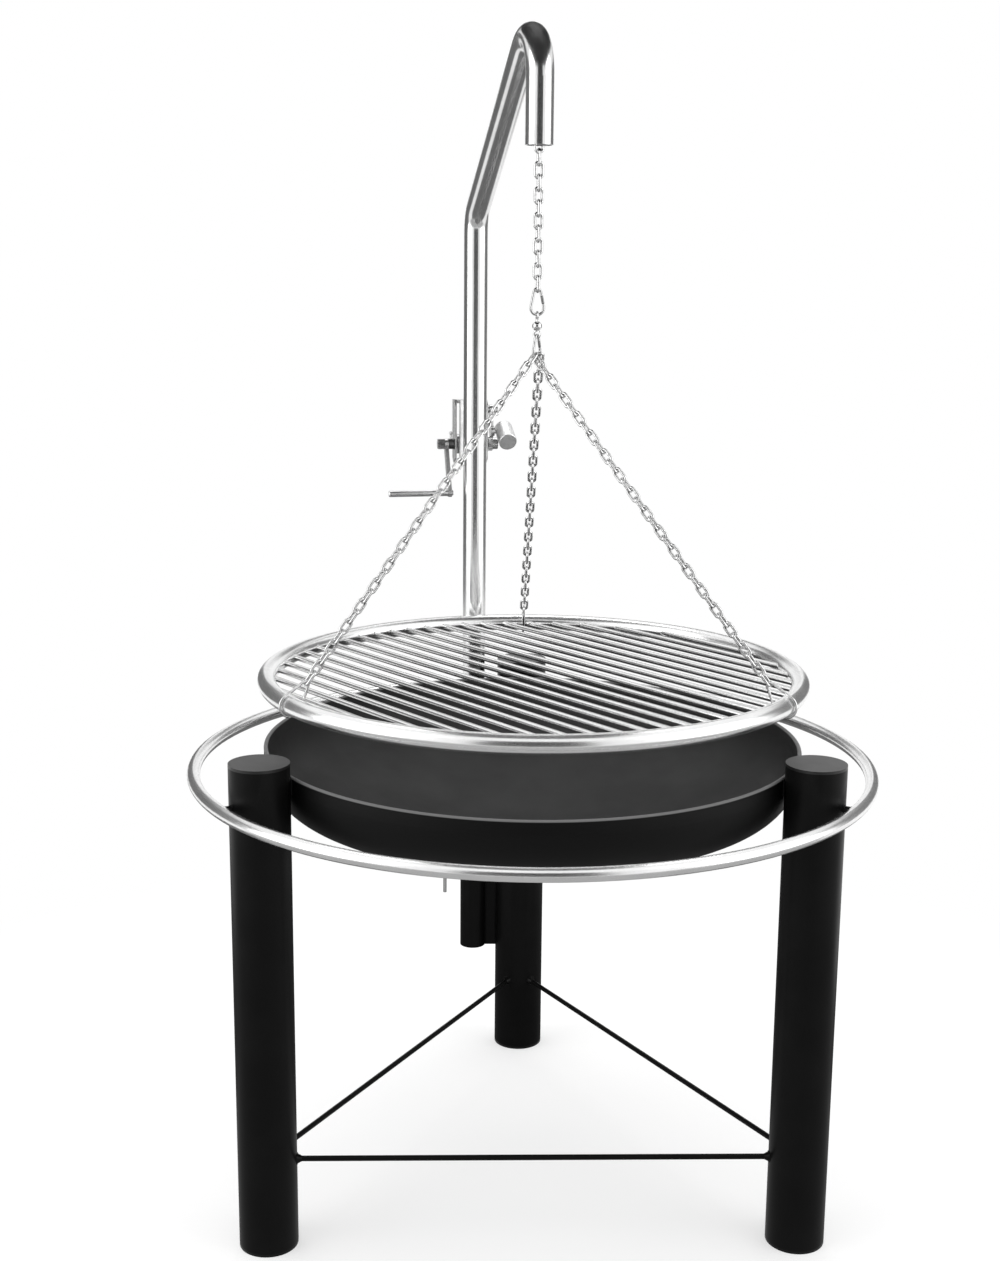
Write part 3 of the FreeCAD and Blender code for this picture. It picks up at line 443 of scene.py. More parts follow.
def even_steps(path: Array, step: float, closed: bool) -> tuple[Array, Array]:
    """Points at even distances along a line of points.

    Args:
        path: points of the line.
        step: distance wanted.
        closed: whether the last point joins the first.

    Returns:
        The new points and their distances from the start.
    """
    line = np.concatenate([path, path[:1]]) if closed else path
    run = np.concatenate([[0.0], np.cumsum(np.linalg.norm(np.diff(line, axis=0), axis=1))])
    count = max(int(round(run[-1] / step)), 4)
    at = np.linspace(0.0, run[-1], count if closed else count + 1, endpoint=not closed)
    return np.stack([np.interp(at, run, line[:, k]) for k in range(3)], axis=1), at


def sweep(path: Array, lift: Array, radius: Array | float, around: int, closed: bool = True) -> Surface:
    """Round section carried along a path.

    The ring at each point p is p + r (cos a * side + sin a * rise), where side is the heading crossed with the
    lift and rise is side crossed with the heading.

    Args:
        path: points of the path.
        lift: a direction, or one for each point, that is never along the path.
        radius: one radius, or one for each point.
        around: points in a ring.
        closed: whether the last ring joins the first; otherwise both ends are capped.

    Returns:
        The swept surface.
    """
    heading = unit(np.roll(path, -1, 0) - np.roll(path, 1, 0) if closed else np.gradient(path, axis=0))
    side = unit(np.cross(heading, lift))
    rise = np.cross(side, heading)
    turn = ring(around)[None, :, None]
    size = np.broadcast_to(np.asarray(radius, float), (len(path),))[:, None, None]
    points = path[:, None] + size * (np.cos(turn) * side[:, None] + np.sin(turn) * rise[:, None])
    rows = np.arange(len(path) if closed else len(path) - 1)
    near = rows[:, None] * around + np.arange(around)
    far = ((rows + 1) % len(path))[:, None] * around + np.arange(around)
    quads = np.stack([near, far, np.roll(far, -1, 1), np.roll(near, -1, 1)], axis=-1).reshape(-1, 4)
    last = (len(path) - 1) * around
    caps = () if closed else (tuple(range(around)), tuple(range(last + around - 1, last - 1, -1)))
    return Surface(points.reshape(-1, 3), quads, caps)


def bead(path: Array, lift: Array, radius: float, closed: bool = True, ripple: float = 0.0026) -> Surface:
    """Weld bead: a swept ring whose radius swells with the absolute sine of its run, one ripple a puddle.

    Args:
        path: line of the seam.
        lift: direction away from the seam.
        radius: radius of the bead.
        closed: whether the seam goes round; otherwise the bead tapers to its ends.
        ripple: distance between puddles.

    Returns:
        The bead.
    """
    points, run = even_steps(path, ripple / BEAD_STEPS, closed)
    size = radius * (BEAD_LOW + BEAD_SWELL * np.abs(np.sin(math.pi * run / ripple)))
    if not closed:
        size = size * np.clip(np.minimum(run, run[-1] - run) / radius + BEAD_TIP, BEAD_TIP, 1.0)
    return sweep(points, lift, size, BEAD_SIDES, closed)


def pipe_seam(foot: Array, heading: Array, branch: float, main: float) -> Array:
    """Seam of a round branch on a round upright: at angle a of the branch, its side step is branch * cos a, its
    rise is branch * sin a, and its distance from the upright's axis is the root of main squared less the step
    squared.

    Args:
        foot: point on the upright's axis that the branch aims at.
        heading: level direction of the branch.
        branch: radius of the branch.
        main: radius of the upright.

    Returns:
        Points of the seam.
    """
    turn = ring(SEAM_POINTS)[:, None]
    step, rise = branch * np.cos(turn), branch * np.sin(turn)
    return foot + heading * np.sqrt(main ** 2 - step ** 2) + np.cross(UP, heading) * step + UP * rise


class Workshop:
    """Holds the finishes and turns surfaces into pieces of the object."""

    def __init__(self) -> None:
        """Make each finish once, and note the slot of each node."""
        self.materials = {finish.slot: finish.build() for finish in FINISHES}
        self.own = {finish: finish.build() for finish in dict.fromkeys(OWN_FINISH.values())}
        self.slots = {part["node"]: part["material_slot"] for part in frame["record"]["subparts"]}

    def dress(self, *words: str) -> None:
        """Give nodes of the frame their finish.

        Args:
            words: starts of the nodes' names.
        """
        for name in [node for node in self.slots if node.startswith(words)]:
            slot = self.slots.pop(name)
            data = frame["nodes"][name].data
            data.materials.clear()
            data.materials.append(self.own[OWN_FINISH[name]] if name in OWN_FINISH else self.materials[slot])
            log.info("dressed %s in %s", name, slot)

    def piece(self, name: str, surface: Surface, slot: str, body: str | None) -> bpy.types.Object:
        """Add a new piece.

        Args:
            name: the piece's name.
            surface: its points and faces.
            slot: material slot that it takes its finish from.
            body: body that it rides on, or none for a piece that rides on no body.

        Returns:
            The new object.
        """
        mesh = bpy.data.meshes.new(name)
        faces = surface.quads.tolist() + [list(cap) for cap in surface.caps]
        mesh.from_pydata(surface.points.tolist(), [], faces)
        mesh.polygons.foreach_set("use_smooth", np.ones(len(mesh.polygons), bool))
        mesh.materials.append(self.materials[slot])
        mesh.update()
        made = bpy.data.objects.new(name, mesh)
        bpy.context.scene.collection.objects.link(made)
        if body:
            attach(made, body)
        log.info("made %s with %d faces on %s", name, len(mesh.polygons), body or "two bodies")
        return made


@dataclass(frozen=True)
class Stand:
    """Legs, floor braces, fire bowl, guard rail, mast socket and clamp."""

    nodes: tuple[str, ...] = ("leg", "brace", "fire_bowl", "guard_rail", "rail", "socket", "mast_socket",
                              "clamp")
    leg_circle: float = 0.44255
    leg_radius: float = 0.0425
    brace_z: float = 0.131
    brace_weld: float = 0.0075
    brace_bead: float = 0.0013
    rail_circle: float = 0.50265
    rail_radius: float = 0.0095
    rail_z: float = 0.6625
    rail_bead: float = 0.0011
    stud_radius: float = 0.005
    stud_bead: float = 0.0012
    bowl_radius: float = 0.4
    bowl_wall: float = 0.006
    bowl_seam: Pair = (0.6725, 0.6945)
    bowl_bead: float = 0.0024
    groove_out: float = 0.0008
    groove_half: float = 0.0125
    lip_z: float = 0.6945
    lip_proud: float = 0.00015
    lip_points: int = 360
    lip_sides: int = 16
    socket_radius: float = 0.0225
    socket_span: Pair = (0.19, 0.618)
    web_half: float = 0.004
    web_out: float = 0.0006
    web_aside: float = 0.0008
    web_bead: float = 0.0016
    web_ripple: float = 0.0032
    clamp_z: float = 0.335
    boss_radius: float = 0.010
    boss_bead: float = 0.0018

    def build(self, shop: Workshop) -> None:
        """Dress the stand and add its welds and the bowl's lip.

        Args:
            shop: workshop to use.
        """
        shop.dress(*self.nodes)
        coat = "black_powder_coat"
        for name, parts, slot in (
                ("brace_welds", self.brace_welds(), coat), ("stud_welds", self.stud_welds(), coat),
                ("rail_welds", self.rail_welds(), "stainless_fittings"),
                ("bowl_welds", self.bowl_welds(), coat), ("bowl_lip", [self.bowl_lip()], "bowl_steel"),
                ("socket_welds", self.socket_welds(), coat)):
            shop.piece(name, Surface.join(parts), slot, "stand")

    def brace_welds(self) -> list[Surface]:
        """Bead round each end of each floor brace.

        Returns:
            One bead an end.
        """
        legs = [polar(self.leg_circle, angle, self.brace_z) for angle in LEG_ANGLES]
        ends = [(leg, unit(other - leg)) for leg in legs for other in legs if other is not leg]
        return [bead(pipe_seam(foot, heading, self.brace_weld, self.leg_radius), heading, self.brace_bead)
                for foot, heading in ends]

    def stud_welds(self) -> list[Surface]:
        """Bead where each rail stud stands on its leg.

        Returns:
            One bead a leg.
        """
        made = []
        for angle in LEG_ANGLES:
            foot, out = polar(self.leg_circle, angle, self.rail_z), polar(1.0, angle)
            made.append(bead(pipe_seam(foot, out, self.stud_radius, self.leg_radius), out, self.stud_bead))
        return made

    def rail_welds(self) -> list[Surface]:
        """Bead where each stud meets the rail: step and rise are as in pipe_seam, and the gap from the rail's
        centre line is the root of the rail's radius squared less the rise squared.

        Returns:
            One bead a stud.
        """
        turn = ring(SEAM_POINTS)[:, None]
        step, rise = self.stud_radius * np.cos(turn), self.stud_radius * np.sin(turn)
        depth = np.sqrt(self.rail_radius ** 2 - rise ** 2)
        made = []
        for angle in LEG_ANGLES:
            out, across = polar(1.0, angle), polar(1.0, angle + 90)
            seam = polar(self.rail_circle, angle, self.rail_z) - out * depth + across * step + UP * rise
            made.append(bead(seam, -out, self.rail_bead))
        return made

    def bowl_welds(self) -> list[Surface]:
        """Two upright beads in the groove between the bowl's rim and each leg.

        Returns:
            Two beads a leg.
        """
        level = np.linspace(*self.bowl_seam, SEAM_POINTS)[:, None]
        made = []
        for angle in LEG_ANGLES:
            for side in (-1.0, 1.0):
                away = polar(1.0, angle + 90) * side
                foot = polar(self.bowl_radius + self.groove_out, angle) + away * self.groove_half
                made.append(bead(foot + UP * level, away, self.bowl_bead, closed=False))
        return made

    def bowl_lip(self) -> Surface:
        """Rounded edge of the bowl as a fine ring, a hair prouder than the wall.

        Returns:
            The ring.
        """
        middle, turn = self.bowl_radius - self.bowl_wall / 2, ring(self.lip_points)
        path = np.stack([middle * np.cos(turn), middle * np.sin(turn), np.full(len(turn), self.lip_z)], axis=1)
        return sweep(path, UP, self.bowl_wall / 2 + self.lip_proud, self.lip_sides)

    def socket_welds(self) -> list[Surface]:
        """Upright beads along both edges of the web, and one round the clamp's boss.

        A bead stands where the web's face leaves the tube: its step from the tube's axis is the root of the
        tube's radius squared less half the web squared.

        Returns:
            Four beads on the web and one on the boss.
        """
        level = np.linspace(*self.socket_span, SEAM_POINTS)[:, None]
        tubes = ((0.0, self.leg_radius, -1.0), (MAST_AXIS[0], self.socket_radius, 1.0))
        made = []
        for side in (-1.0, 1.0):
            y = MAST_AXIS[1] + side * (self.web_half + self.web_aside)
            for axis_x, radius, way in tubes:
                x = axis_x + way * (math.sqrt(radius ** 2 - self.web_half ** 2) + self.web_out)
                made.append(bead(np.array([x, y, 0.0]) + UP * level, np.array([way, side, 0.0]), self.web_bead,
                                 closed=False, ripple=self.web_ripple))
        west = np.array([-1.0, 0.0, 0.0])
        seam = pipe_seam(MAST_AXIS + UP * self.clamp_z, west, self.boss_radius, self.socket_radius)
        made.append(bead(seam, west, self.boss_bead))
        return made


@dataclass(frozen=True)
class Mast:
    """Turning mast with its arm, winch and the rope inside."""

    nodes: tuple[str, ...] = ("mast", "winch", "crank", "pawl", "ratchet", "rope_drum", "shaft", "handle",
                              "ball_head", "hoist_rope")
    tube_radius: float = 0.020
    plate_span: Pair = (1.074, 1.163)
    plate_back: float = 0.02502
    plate_gap: float = 0.0002
    plate_aside: float = 0.0088
    plate_bead: float = 0.0017
    cheek_in: float = 0.026
    cheek_u: Pair = (-0.0552, -0.0335)
    bridge_z: float = 1.166
    bridge_half: float = 0.021
    bridge_bead: float = 0.0012
    corner_out: float = 0.0008
    corner_down: float = 0.0006
    shaft: Pair = (-0.04402, 1.0945)
    rope_radius: float = 0.002
    rope_step: float = 0.0016
    rope_lay: float = 0.030
    rope_cut: float = 0.2
    rope_give: float = 0.075
    rope_lean: float = 22.0
    strands: int = 6
    strand_sides: int = 6
    strand_share: float = 0.36
    strand_circle: float = 0.64
    core_share: float = 0.45
    eye_radius: float = 0.0065
    eye_points: int = 48
    eye_sides: int = 10
    wound_turns: int = 4
    wound_steps: int = 12
    wound_start: float = -2.0
    wound_pitch: float = 0.0046
    wound_guide: float = 0.0147
    route: tuple[Pair, ...] = (
        (0.45045, 1.5949), (0.45045, 1.630), (0.45045, 1.6709), (0.4206, 1.7058), (0.3753, 1.7128),
        (0.3328, 1.6864), (0.2000, 1.6040), (0.0636, 1.5194), (0.0126, 1.4878), (0.0, 1.4651), (0.0, 1.405),
        (0.0, 1.290), (0.0, 1.2342), (-0.0120, 1.1777), (-0.0262, 1.1110))

    def place(self, u: Any, v: Any, z: Any) -> Array:
        """World points from distances ahead of the mast, aside from it and above the floor.

        Args:
            u: distance ahead.
            v: distance aside.
            z: height.

        Returns:
            The points.
        """
        u, v, z = (np.asarray(x, float)[..., None] for x in (u, v, z))
        return MAST_AXIS + u * AHEAD + v * ASIDE + z * UP

    def build(self, shop: Workshop) -> None:
        """Dress the mast and winch, and add the welds and the rope.

        Args:
            shop: workshop to use.
        """
        shop.dress(*self.nodes)
        shop.piece("winch_welds", Surface.join(self.winch_welds()), "stainless_fittings", "mast")
        points, run = even_steps(self.rope_line(), self.rope_step, closed=False)
        cut = int(np.argmax((points - MAST_AXIS) @ AHEAD < self.rope_cut))
        eye = shop.piece("rope_eye", self.rope_eye(), "chain_steel", "hoist")
        end = shop.piece("rope_end", Surface.join(self.rope_strands(points[:cut + 1], run[:cut + 1])),
                         "chain_steel", None)
        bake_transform(end)
        rope = shop.piece("rope_run", Surface.join(self.rope_strands(points[cut:], run[cut:])), "chain_steel",
                          "mast")
        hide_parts("hoist_rope")

    def winch_welds(self) -> list[Surface]:
        """Beads beside the mast along the winch's plate, and under the bridge along the cheeks and the plate.

        Returns:
            Two beads on the mast and three under the bridge.
        """
        level = np.linspace(*self.plate_span, SEAM_POINTS)
        along = np.linspace(*self.cheek_u, SEAM_POINTS)
        across = np.linspace(-self.bridge_half, self.bridge_half, SEAM_POINTS)
        under = self.bridge_z - self.corner_down
        made = []
        for side in (-1.0, 1.0):
            beside = self.place(-self.tube_radius - self.plate_gap, side * self.plate_aside, level)
            made.append(bead(beside, side * ASIDE, self.plate_bead, closed=False))
            corner = self.place(along, side * (self.cheek_in - self.corner_out), under)
            made.append(bead(corner, -side * ASIDE, self.bridge_bead, closed=False))
        behind = self.place(-self.plate_back - self.corner_out, across, under)
        made.append(bead(behind, -UP, self.bridge_bead, closed=False))
        return made

    def rope_line(self) -> Array:
        """Centre line of the rope: a smooth spline through the tube and round the drum.

        The turns on the drum are control points on a helix that starts where the rope meets it.

        Returns:
            Points of the line from the chain to the drum.
        """
        run = np.array(self.route)
        start = self.place(run[:, 0], np.zeros(len(run)), run[:, 1])
        steps = np.arange(self.wound_turns * self.wound_steps + 1)
        turn = math.radians(self.wound_start) - steps * 2 * math.pi / self.wound_steps
        wound = self.place(self.shaft[0] + self.wound_guide * np.cos(turn),
                           self.wound_pitch * steps / self.wound_steps,
                           self.shaft[1] + self.wound_guide * np.sin(turn))
        guides = np.concatenate([start, wound])
        curve = bpy.data.curves.new("rope route", "CURVE")
        curve.dimensions = "3D"
        spline = curve.splines.new("NURBS")
        spline.points.add(len(guides) - 1)
        spline.points.foreach_set("co", np.column_stack([guides, np.ones(len(guides))]).ravel())
        spline.order_u = 3
        spline.use_endpoint_u = True
        spline.resolution_u = 10
        holder = bpy.data.objects.new("rope route", curve)
        mesh = bpy.data.meshes.new_from_object(holder)
        line = np.empty(len(mesh.vertices) * 3)
        mesh.vertices.foreach_get("co", line)
        for store, item in ((bpy.data.objects, holder), (bpy.data.curves, curve), (bpy.data.meshes, mesh)):
            store.remove(item)
        return line.reshape(-1, 3)

    def rope_eye(self) -> Surface:
        """Eye at the rope's end, a ring that faces ahead and holds the top link.

        Returns:
            The ring.
        """
        turn, (ahead, top) = ring(self.eye_points), self.route[0]
        path = self.place(np.full(len(turn), ahead), self.eye_radius * np.cos(turn),
                          top - self.eye_radius + self.eye_radius * np.sin(turn))
        return sweep(path, AHEAD, self.rope_radius, self.eye_sides)

    def rope_strands(self, points: Array, run: Array) -> list[Surface]:
        """Six strands laid round the rope's core.

        A strand's centre turns once a lay length at about two thirds of the rope's radius, and its own radius
        is about a third of the rope's.

        Args:
            points: even points of the centre line.
            run: their distances from the rope's end.

        Returns:
            The core, and one swept surface a strand.
        """
        heading = unit(np.gradient(points, axis=0))
        side = unit(ASIDE - heading * (heading @ ASIDE)[:, None])
        rise = np.cross(heading, side)
        size, sides = self.rope_radius * self.strand_share, self.strand_sides
        made = [sweep(points, side, self.rope_radius * self.core_share, sides, closed=False)]
        for index in range(self.strands):
            turn = (2 * math.pi * (run / self.rope_lay + index / self.strands))[:, None]
            away = np.cos(turn) * side + np.sin(turn) * rise
            centre = points + self.rope_radius * self.strand_circle * away
            made.append(sweep(centre, side, size, sides, closed=False))
        return made


@dataclass(frozen=True)
class Hoist:
    """Chains, carabiners and swivel between the hook and the grate."""

    nodes: tuple[str, ...] = ("hoist", "lower", "swing", "swivel", "grate_chain", "grate_hangers")
    wire: float = 0.0042
    side: float = 0.0052
    pitch: float = 0.0174
    inside: float = 0.0177
    top_z: float = 1.57535
    upper: int = 8
    lower: int = 4
    junction_z: float = 1.2706
    junction_radius: float = 0.0105
    junction_azimuth: float = 60.0
    runs: tuple[Pair, ...] = ((210.0, -58.0), (330.0, 0.0), (90.0, 58.0))
    hook_radius: float = 0.002
    near_gap: float = 0.0003
    wide_gap: float = 0.0011
    bail_radius: float = 0.002
    bail_length: float = 0.040
    mark_half: float = 0.0019
    mark_low: float = 0.97
    mark_swell: float = 0.12
    mark_points: int = 7
    mark_sides: int = 10

    def build(self, shop: Workshop) -> None:
        """Dress the chains and fittings, and add the links' weld marks.

        Args:
            shop: workshop to use.
        """
        shop.dress(*self.nodes)
        mark = self.weld_mark()
        count = self.upper + 1 + self.lower
        turns, places = self.links(UP * self.top_z, -UP, ASIDE, count, self.pitch)
        groups = (("hoist_link_welds", slice(0, self.upper), "hoist"),
                  ("swing_link_weld", slice(self.upper, self.upper + 1), "swing"),
                  ("lower_link_welds", slice(self.upper + 1, None), "hanger"))
        for name, some, body in groups:
            shop.piece(name, mark.copies(turns[some], places[some]), "chain_steel", body)
        marks = Surface.join(mark.copies(*self.grate_run(*run)) for run in self.runs)
        shop.piece("grate_link_welds", marks, "chain_steel", "grate")

    def weld_mark(self) -> Surface:
        """Butt weld on one long side of a link: a short sleeve whose radius swells by a cosine.

        Returns:
            The sleeve on a link that stands at the origin.
        """
        run = np.linspace(-1.0, 1.0, self.mark_points)
        path = np.stack([np.full(len(run), self.side), np.zeros(len(run)), self.mark_half * run], axis=1)
        size = self.wire / 2 * (self.mark_low + self.mark_swell * np.cos(run * math.pi / 2))
        return sweep(path, np.array([1.0, 0.0, 0.0]), size, self.mark_sides, closed=False)

    def links(self, first: Array, down: Array, normal: Array, count: int, pitch: float) -> tuple[Array, Array]:
        """Turn and place of each link of a run; each is turned a quarter against the one before.

        Args:
            first: middle of the first link.
            down: direction of the run.
            normal: direction that the first link faces.
            count: number of links.
            pitch: distance between links.

        Returns:
            One matrix and one point a link.
        """
        index = np.arange(count)
        face = np.where((index % 2 == 0)[:, None], normal, np.cross(down, normal))
        along = np.broadcast_to(-down, face.shape)
        return np.stack([np.cross(face, along), face, along], axis=2), first + index[:, None] * pitch * down

    def grate_run(self, angle: float, spread: float) -> tuple[Array, Array]:
        """Links of one of the three chains to the grate.

        Args:
            angle: azimuth of the chain's lower end.
            spread: where it hangs on the lower carabiner, in degrees from the bottom.

        Returns:
            One matrix and one point a link.
        """
        turn = math.radians(spread)
        hang = polar(1.0, self.junction_azimuth) * math.sin(turn) - UP * math.cos(turn)
        start = UP * self.junction_z + hang * self.junction_radius
        end = polar(GRATE_CIRCLE, angle, GRATE_Z)
        down = unit(end - start)
        across = polar(1.0, angle + 90)
        across = unit(across - down * (across @ down))
        level = spread == 0.0
        first = self.inside / 2 - self.hook_radius - (self.near_gap if level else self.wide_gap)
        last = self.inside / 2 - self.bail_radius - self.near_gap
        room = float(np.linalg.norm(end - start)) - first - last - self.bail_length
        steps = math.ceil(room / self.pitch)
        steps += (steps % 2 == 1) != level
        return self.links(start + down * first, down, across if level else np.cross(down, across), steps + 1,
                          room / steps)


@dataclass(frozen=True)
class Grate:
    """Hanging ring with its bars."""

    nodes: tuple[str, ...] = ("grate",)
    tube: float = 0.01345
    bar: float = 0.004
    pitch: float = 0.033
    middle_offset: float = 0.00617
    side_bars: int = 11
    direction: float = -53.0
    seam_points: int = 28
    seam_bead: float = 0.0009
    seam_ripple: float = 0.0024

    def build(self, shop: Workshop) -> None:
        """Dress the grate and add the welds at the bars' ends.

        Args:
            shop: workshop to use.
        """
        shop.dress(*self.nodes)
        shop.piece("bar_welds", Surface.join(self.bar_welds()), "stainless_bars", "grate")

    def offsets(self) -> Array:
        """Distances of the bars from the middle."""
        return self.middle_offset + self.pitch * np.arange(-self.side_bars, self.side_bars + 1)

    def bar_welds(self) -> list[Surface]:
        """Bead round each bar's end on the ring.

        At angle a of the bar its side step is d + r cos a and its rise r sin a; the distance along it is the
        root of the ring wall's radius at that rise squared less the step squared.

        Returns:
            One bead a bar end.
        """
        along, across = polar(1.0, self.direction), polar(1.0, self.direction + 90)
        turn = ring(self.seam_points)
        made = []
        for offset in self.offsets():
            step, rise = offset + self.bar * np.cos(turn), self.bar * np.sin(turn)
            wall = GRATE_CIRCLE - np.sqrt(self.tube ** 2 - rise ** 2)
            reach = np.sqrt(wall ** 2 - step ** 2)
            for way in (-1.0, 1.0):
                path = (along * (way * reach)[:, None] + across * step[:, None]
                        + UP * (GRATE_Z + rise)[:, None])
                made.append(bead(path, -along * way, self.seam_bead, ripple=self.seam_ripple))
        return made


@dataclass(frozen=True)
class Softbox:
    """One large soft lamp."""

    name: str
    place: Triple
    aim: Triple
    size: Pair
    power: float


@dataclass(frozen=True)
class Flat:
    """Plain studio flat that only the metal's reflections see, as its middle and its two half sides."""

    name: str
    middle: Triple
    half_a: Triple
    half_b: Triple
    tone: str


@dataclass(frozen=True)
class Studio:
    """White floor and sky, soft lamps, flats that give the steel its dark bands, and the camera."""

    sky: float = 0.92
    floor_reach: float = 40.0
    floor_fade: Pair = (0.85, 1.5)
    floor_lift: float = 0.5
    eye: Triple = (-0.10995, -2.41986, 1.35934)
    pitch: float = 11.608
    yaw: float = 1.431
    roll: float = 0.470
    lens: float = 47.50
    sensor: float = 36.0
    lamps: tuple[Softbox, ...] = (
        Softbox("left softbox", (-3.0, -1.0, 1.9), (0.0, 0.0, 1.1), (2.6, 3.4), 46.0),
        Softbox("right softbox", (3.0, -1.0, 1.9), (0.0, 0.0, 1.1), (2.6, 3.4), 40.0),
        Softbox("top softbox", (0.0, 1.2, 4.2), (0.0, 0.0, 0.6), (2.6, 1.6), 40.0),
    )
    flats: tuple[Flat, ...] = (
        Flat("flat behind camera", (-0.15, -4.2, 1.2), (1.7, 0.0, 0.0), (0.0, 0.0, 1.3), "#545454"),
        Flat("tall flat behind camera", (-0.1, -4.15, 3.1), (1.6, 0.0, 0.0), (0.0, 0.0, 1.25), "#3a3a3a"),
        Flat("high flat behind the hook", (0.0, 3.6, 2.6), (1.3, 0.0, 0.0), (0.0, 0.0, 0.45), "#2a2a2a"),
        Flat("flat over the hook", (0.0, 0.05, 2.0), (0.5, 0.0, 0.0), (0.0, 0.7, 0.0), "#303030"),
        Flat("grey left wing", (-2.45, 1.84, 1.43), (-1.15, -1.64, 0.0), (0.0, 0.0, 1.17), "#6c6c6c"),
        Flat("grey right wing", (2.6, 2.01, 1.43), (1.0, -1.21, 0.0), (0.0, 0.0, 1.17), "#787878"),
        Flat("front mat", (0.0, -1.5, 0.004), (2.6, 0.0, 0.0), (0.0, 1.6, 0.0), "#acacac"),
        Flat("rear mat", (-0.15, 1.2, 0.004), (1.3, 0.0, 0.0), (0.0, 1.1, 0.0), "#6a6a6a"),
    )

    def build(self) -> None:
        """Set up everything that isn't the object."""
        self.light()
        self.floor()
        for flat in self.flats:
            self.raise_flat(flat)
        self.camera()

    def light(self) -> None:
        """Even sky that is white where it is seen, and the lamps."""
        world = bpy.data.worlds.new("studio sky")
        bpy.context.scene.world = world
        world.use_nodes = True
        tree = world.node_tree
        tree.nodes.clear()
        ray = add(tree, "ShaderNodeLightPath").outputs
        either = add(tree, "ShaderNodeMath", {0: ray["Is Camera Ray"], 1: ray["Is Glossy Ray"]},
                     operation="MAXIMUM")
        seen = add(tree, "ShaderNodeMath", {0: either.outputs[0], 1: ray["Is Transmission Ray"]},
                   operation="MAXIMUM")
        strength = add(tree, "ShaderNodeMapRange", {"Value": seen.outputs[0], "To Min": self.sky})
        sky = add(tree, "ShaderNodeBackground", {"Strength": strength.outputs["Result"], "Color": WHITE})
        add(tree, "ShaderNodeOutputWorld", {"Surface": sky.outputs["Background"]})
        for lamp in self.lamps:
            data = bpy.data.lights.new(lamp.name, "AREA")
            data.shape = "RECTANGLE"
            data.size, data.size_y = lamp.size
            data.energy = lamp.power
            lit = bpy.data.objects.new(lamp.name, data)
            bpy.context.scene.collection.objects.link(lit)
            lit.location = lamp.place
            lit.rotation_euler = (Vector(lamp.aim) - Vector(lamp.place)).to_track_quat("-Z", "Y").to_euler()

    def sheet(self, name: str, sides: tuple[Triple, Triple, Triple], material: bpy.types.Material,
              seen: Seen) -> None:
        """Flat four-sided stage piece, whose corners are its middle plus or minus each half side.

        Args:
            name: its name.
            sides: its middle and its two half sides.
            material: its material.
            seen: what it shows itself to.
        """
        middle, a, b = (np.array(x) for x in sides)
        corners = np.array([middle - a - b, middle + a - b, middle + a + b, middle - a + b])
        mesh = bpy.data.meshes.new(name)
        mesh.from_pydata(corners.tolist(), [], [(0, 1, 2, 3)])
        mesh.materials.append(material)
        made = bpy.data.objects.new(name, mesh)
        bpy.context.scene.collection.objects.link(made)
        if seen is Seen.REFLECTIONS:
            made.visible_camera = made.visible_diffuse = False
            made.visible_shadow = made.visible_transmission = False

    def floor(self) -> None:
        """White floor that takes shadows near the object and fades into the white sky further out."""
        material = new_material("white floor")
        tree = material.node_tree
        here = add(tree, "ShaderNodeTexCoord").outputs["Object"]
        away = add(tree, "ShaderNodeVectorMath", {0: here}, operation="LENGTH")
        near, far = self.floor_fade
        fade = add(tree, "ShaderNodeMapRange", {"Value": away.outputs["Value"], "From Min": near,
                                                "From Max": far}, interpolation_type="SMOOTHSTEP")
        matt = add(tree, "ShaderNodeBsdfDiffuse", {"Color": WHITE})
        glow = add(tree, "ShaderNodeEmission", {"Color": WHITE})
        lift = add(tree, "ShaderNodeMapRange", {"Value": fade.outputs["Result"], "To Min": self.floor_lift})
        both = add(tree, "ShaderNodeMixShader", {0: lift.outputs["Result"], 1: matt.outputs[0],
                                                 2: glow.outputs[0]})
        add(tree, "ShaderNodeOutputMaterial", {"Surface": both.outputs[0]})
        sides = ((0.0, 0.0, 0.0), (self.floor_reach, 0.0, 0.0), (0.0, self.floor_reach, 0.0))
        self.sheet("studio_floor", sides, material, Seen.EVERYTHING)

    def raise_flat(self, flat: Flat) -> None:
        """Stand one flat.

        Args:
            flat: the flat to stand.
        """
        material = new_material(flat.name)
        glow = add(material.node_tree, "ShaderNodeEmission", {"Color": linear(flat.tone)})
        add(material.node_tree, "ShaderNodeOutputMaterial", {"Surface": glow.outputs[0]})
        sides = (flat.middle, flat.half_a, flat.half_b)
        self.sheet(flat.name.replace(" ", "_"), sides, material, Seen.REFLECTIONS)

    def camera(self) -> None:
        """Camera where the photograph was taken."""
        pitch, yaw, roll = (math.radians(a) for a in (self.pitch, self.yaw, self.roll))
        ahead = Vector((math.sin(yaw) * math.cos(pitch), math.cos(yaw) * math.cos(pitch), -math.sin(pitch)))
        level = Vector((math.cos(yaw), -math.sin(yaw), 0.0))
        rise = level.cross(ahead)
        right = level * math.cos(roll) + rise * math.sin(roll)
        up = rise * math.cos(roll) - level * math.sin(roll)
        data = bpy.data.cameras.new("camera")
        data.lens = self.lens
        data.sensor_width = self.sensor
        eye = bpy.data.objects.new("camera", data)
        bpy.context.scene.collection.objects.link(eye)
        eye.matrix_world = Matrix.Translation(self.eye) @ Matrix((right, up, -ahead)).transposed().to_4x4()
        bpy.context.scene.camera = eye


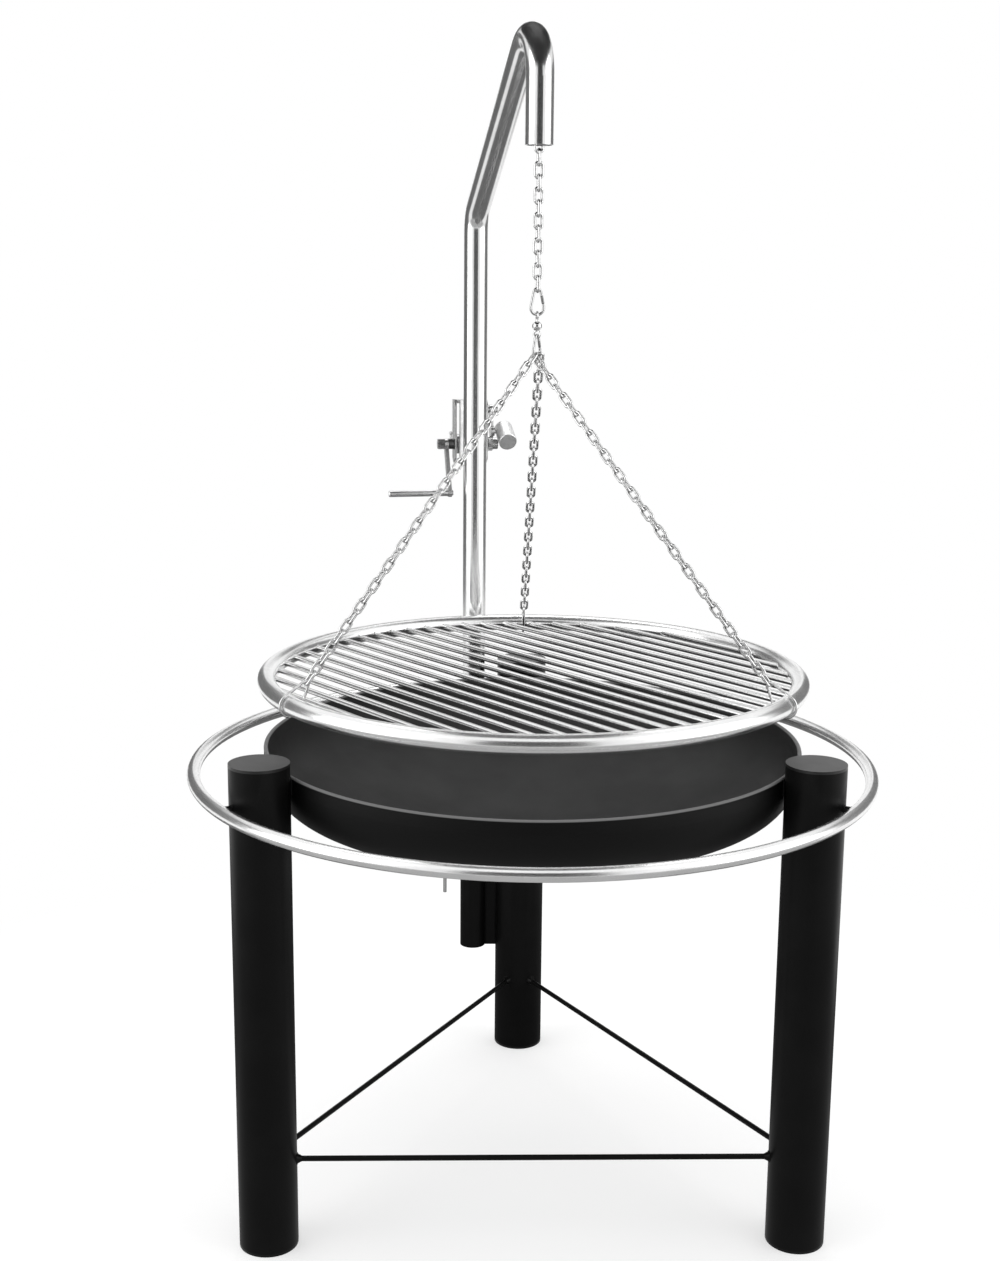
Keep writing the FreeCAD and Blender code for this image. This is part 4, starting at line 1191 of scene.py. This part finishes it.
def main() -> None:
    """Build the studio and the sub-assemblies in order, then make sure that every node has a finish."""
    logging.basicConfig(level=logging.INFO, format="%(message)s")
    shop = Workshop()
    Studio().build()
    for assembly in (Stand(), Mast(), Hoist(), Grate()):
        assembly.build(shop)
    if shop.slots:
        raise ValueError(f"nodes without a finish: {sorted(shop.slots)}")
    bpy.context.scene.view_settings.view_transform = "Standard"
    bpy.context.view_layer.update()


if __name__ == "__main__":
    main()
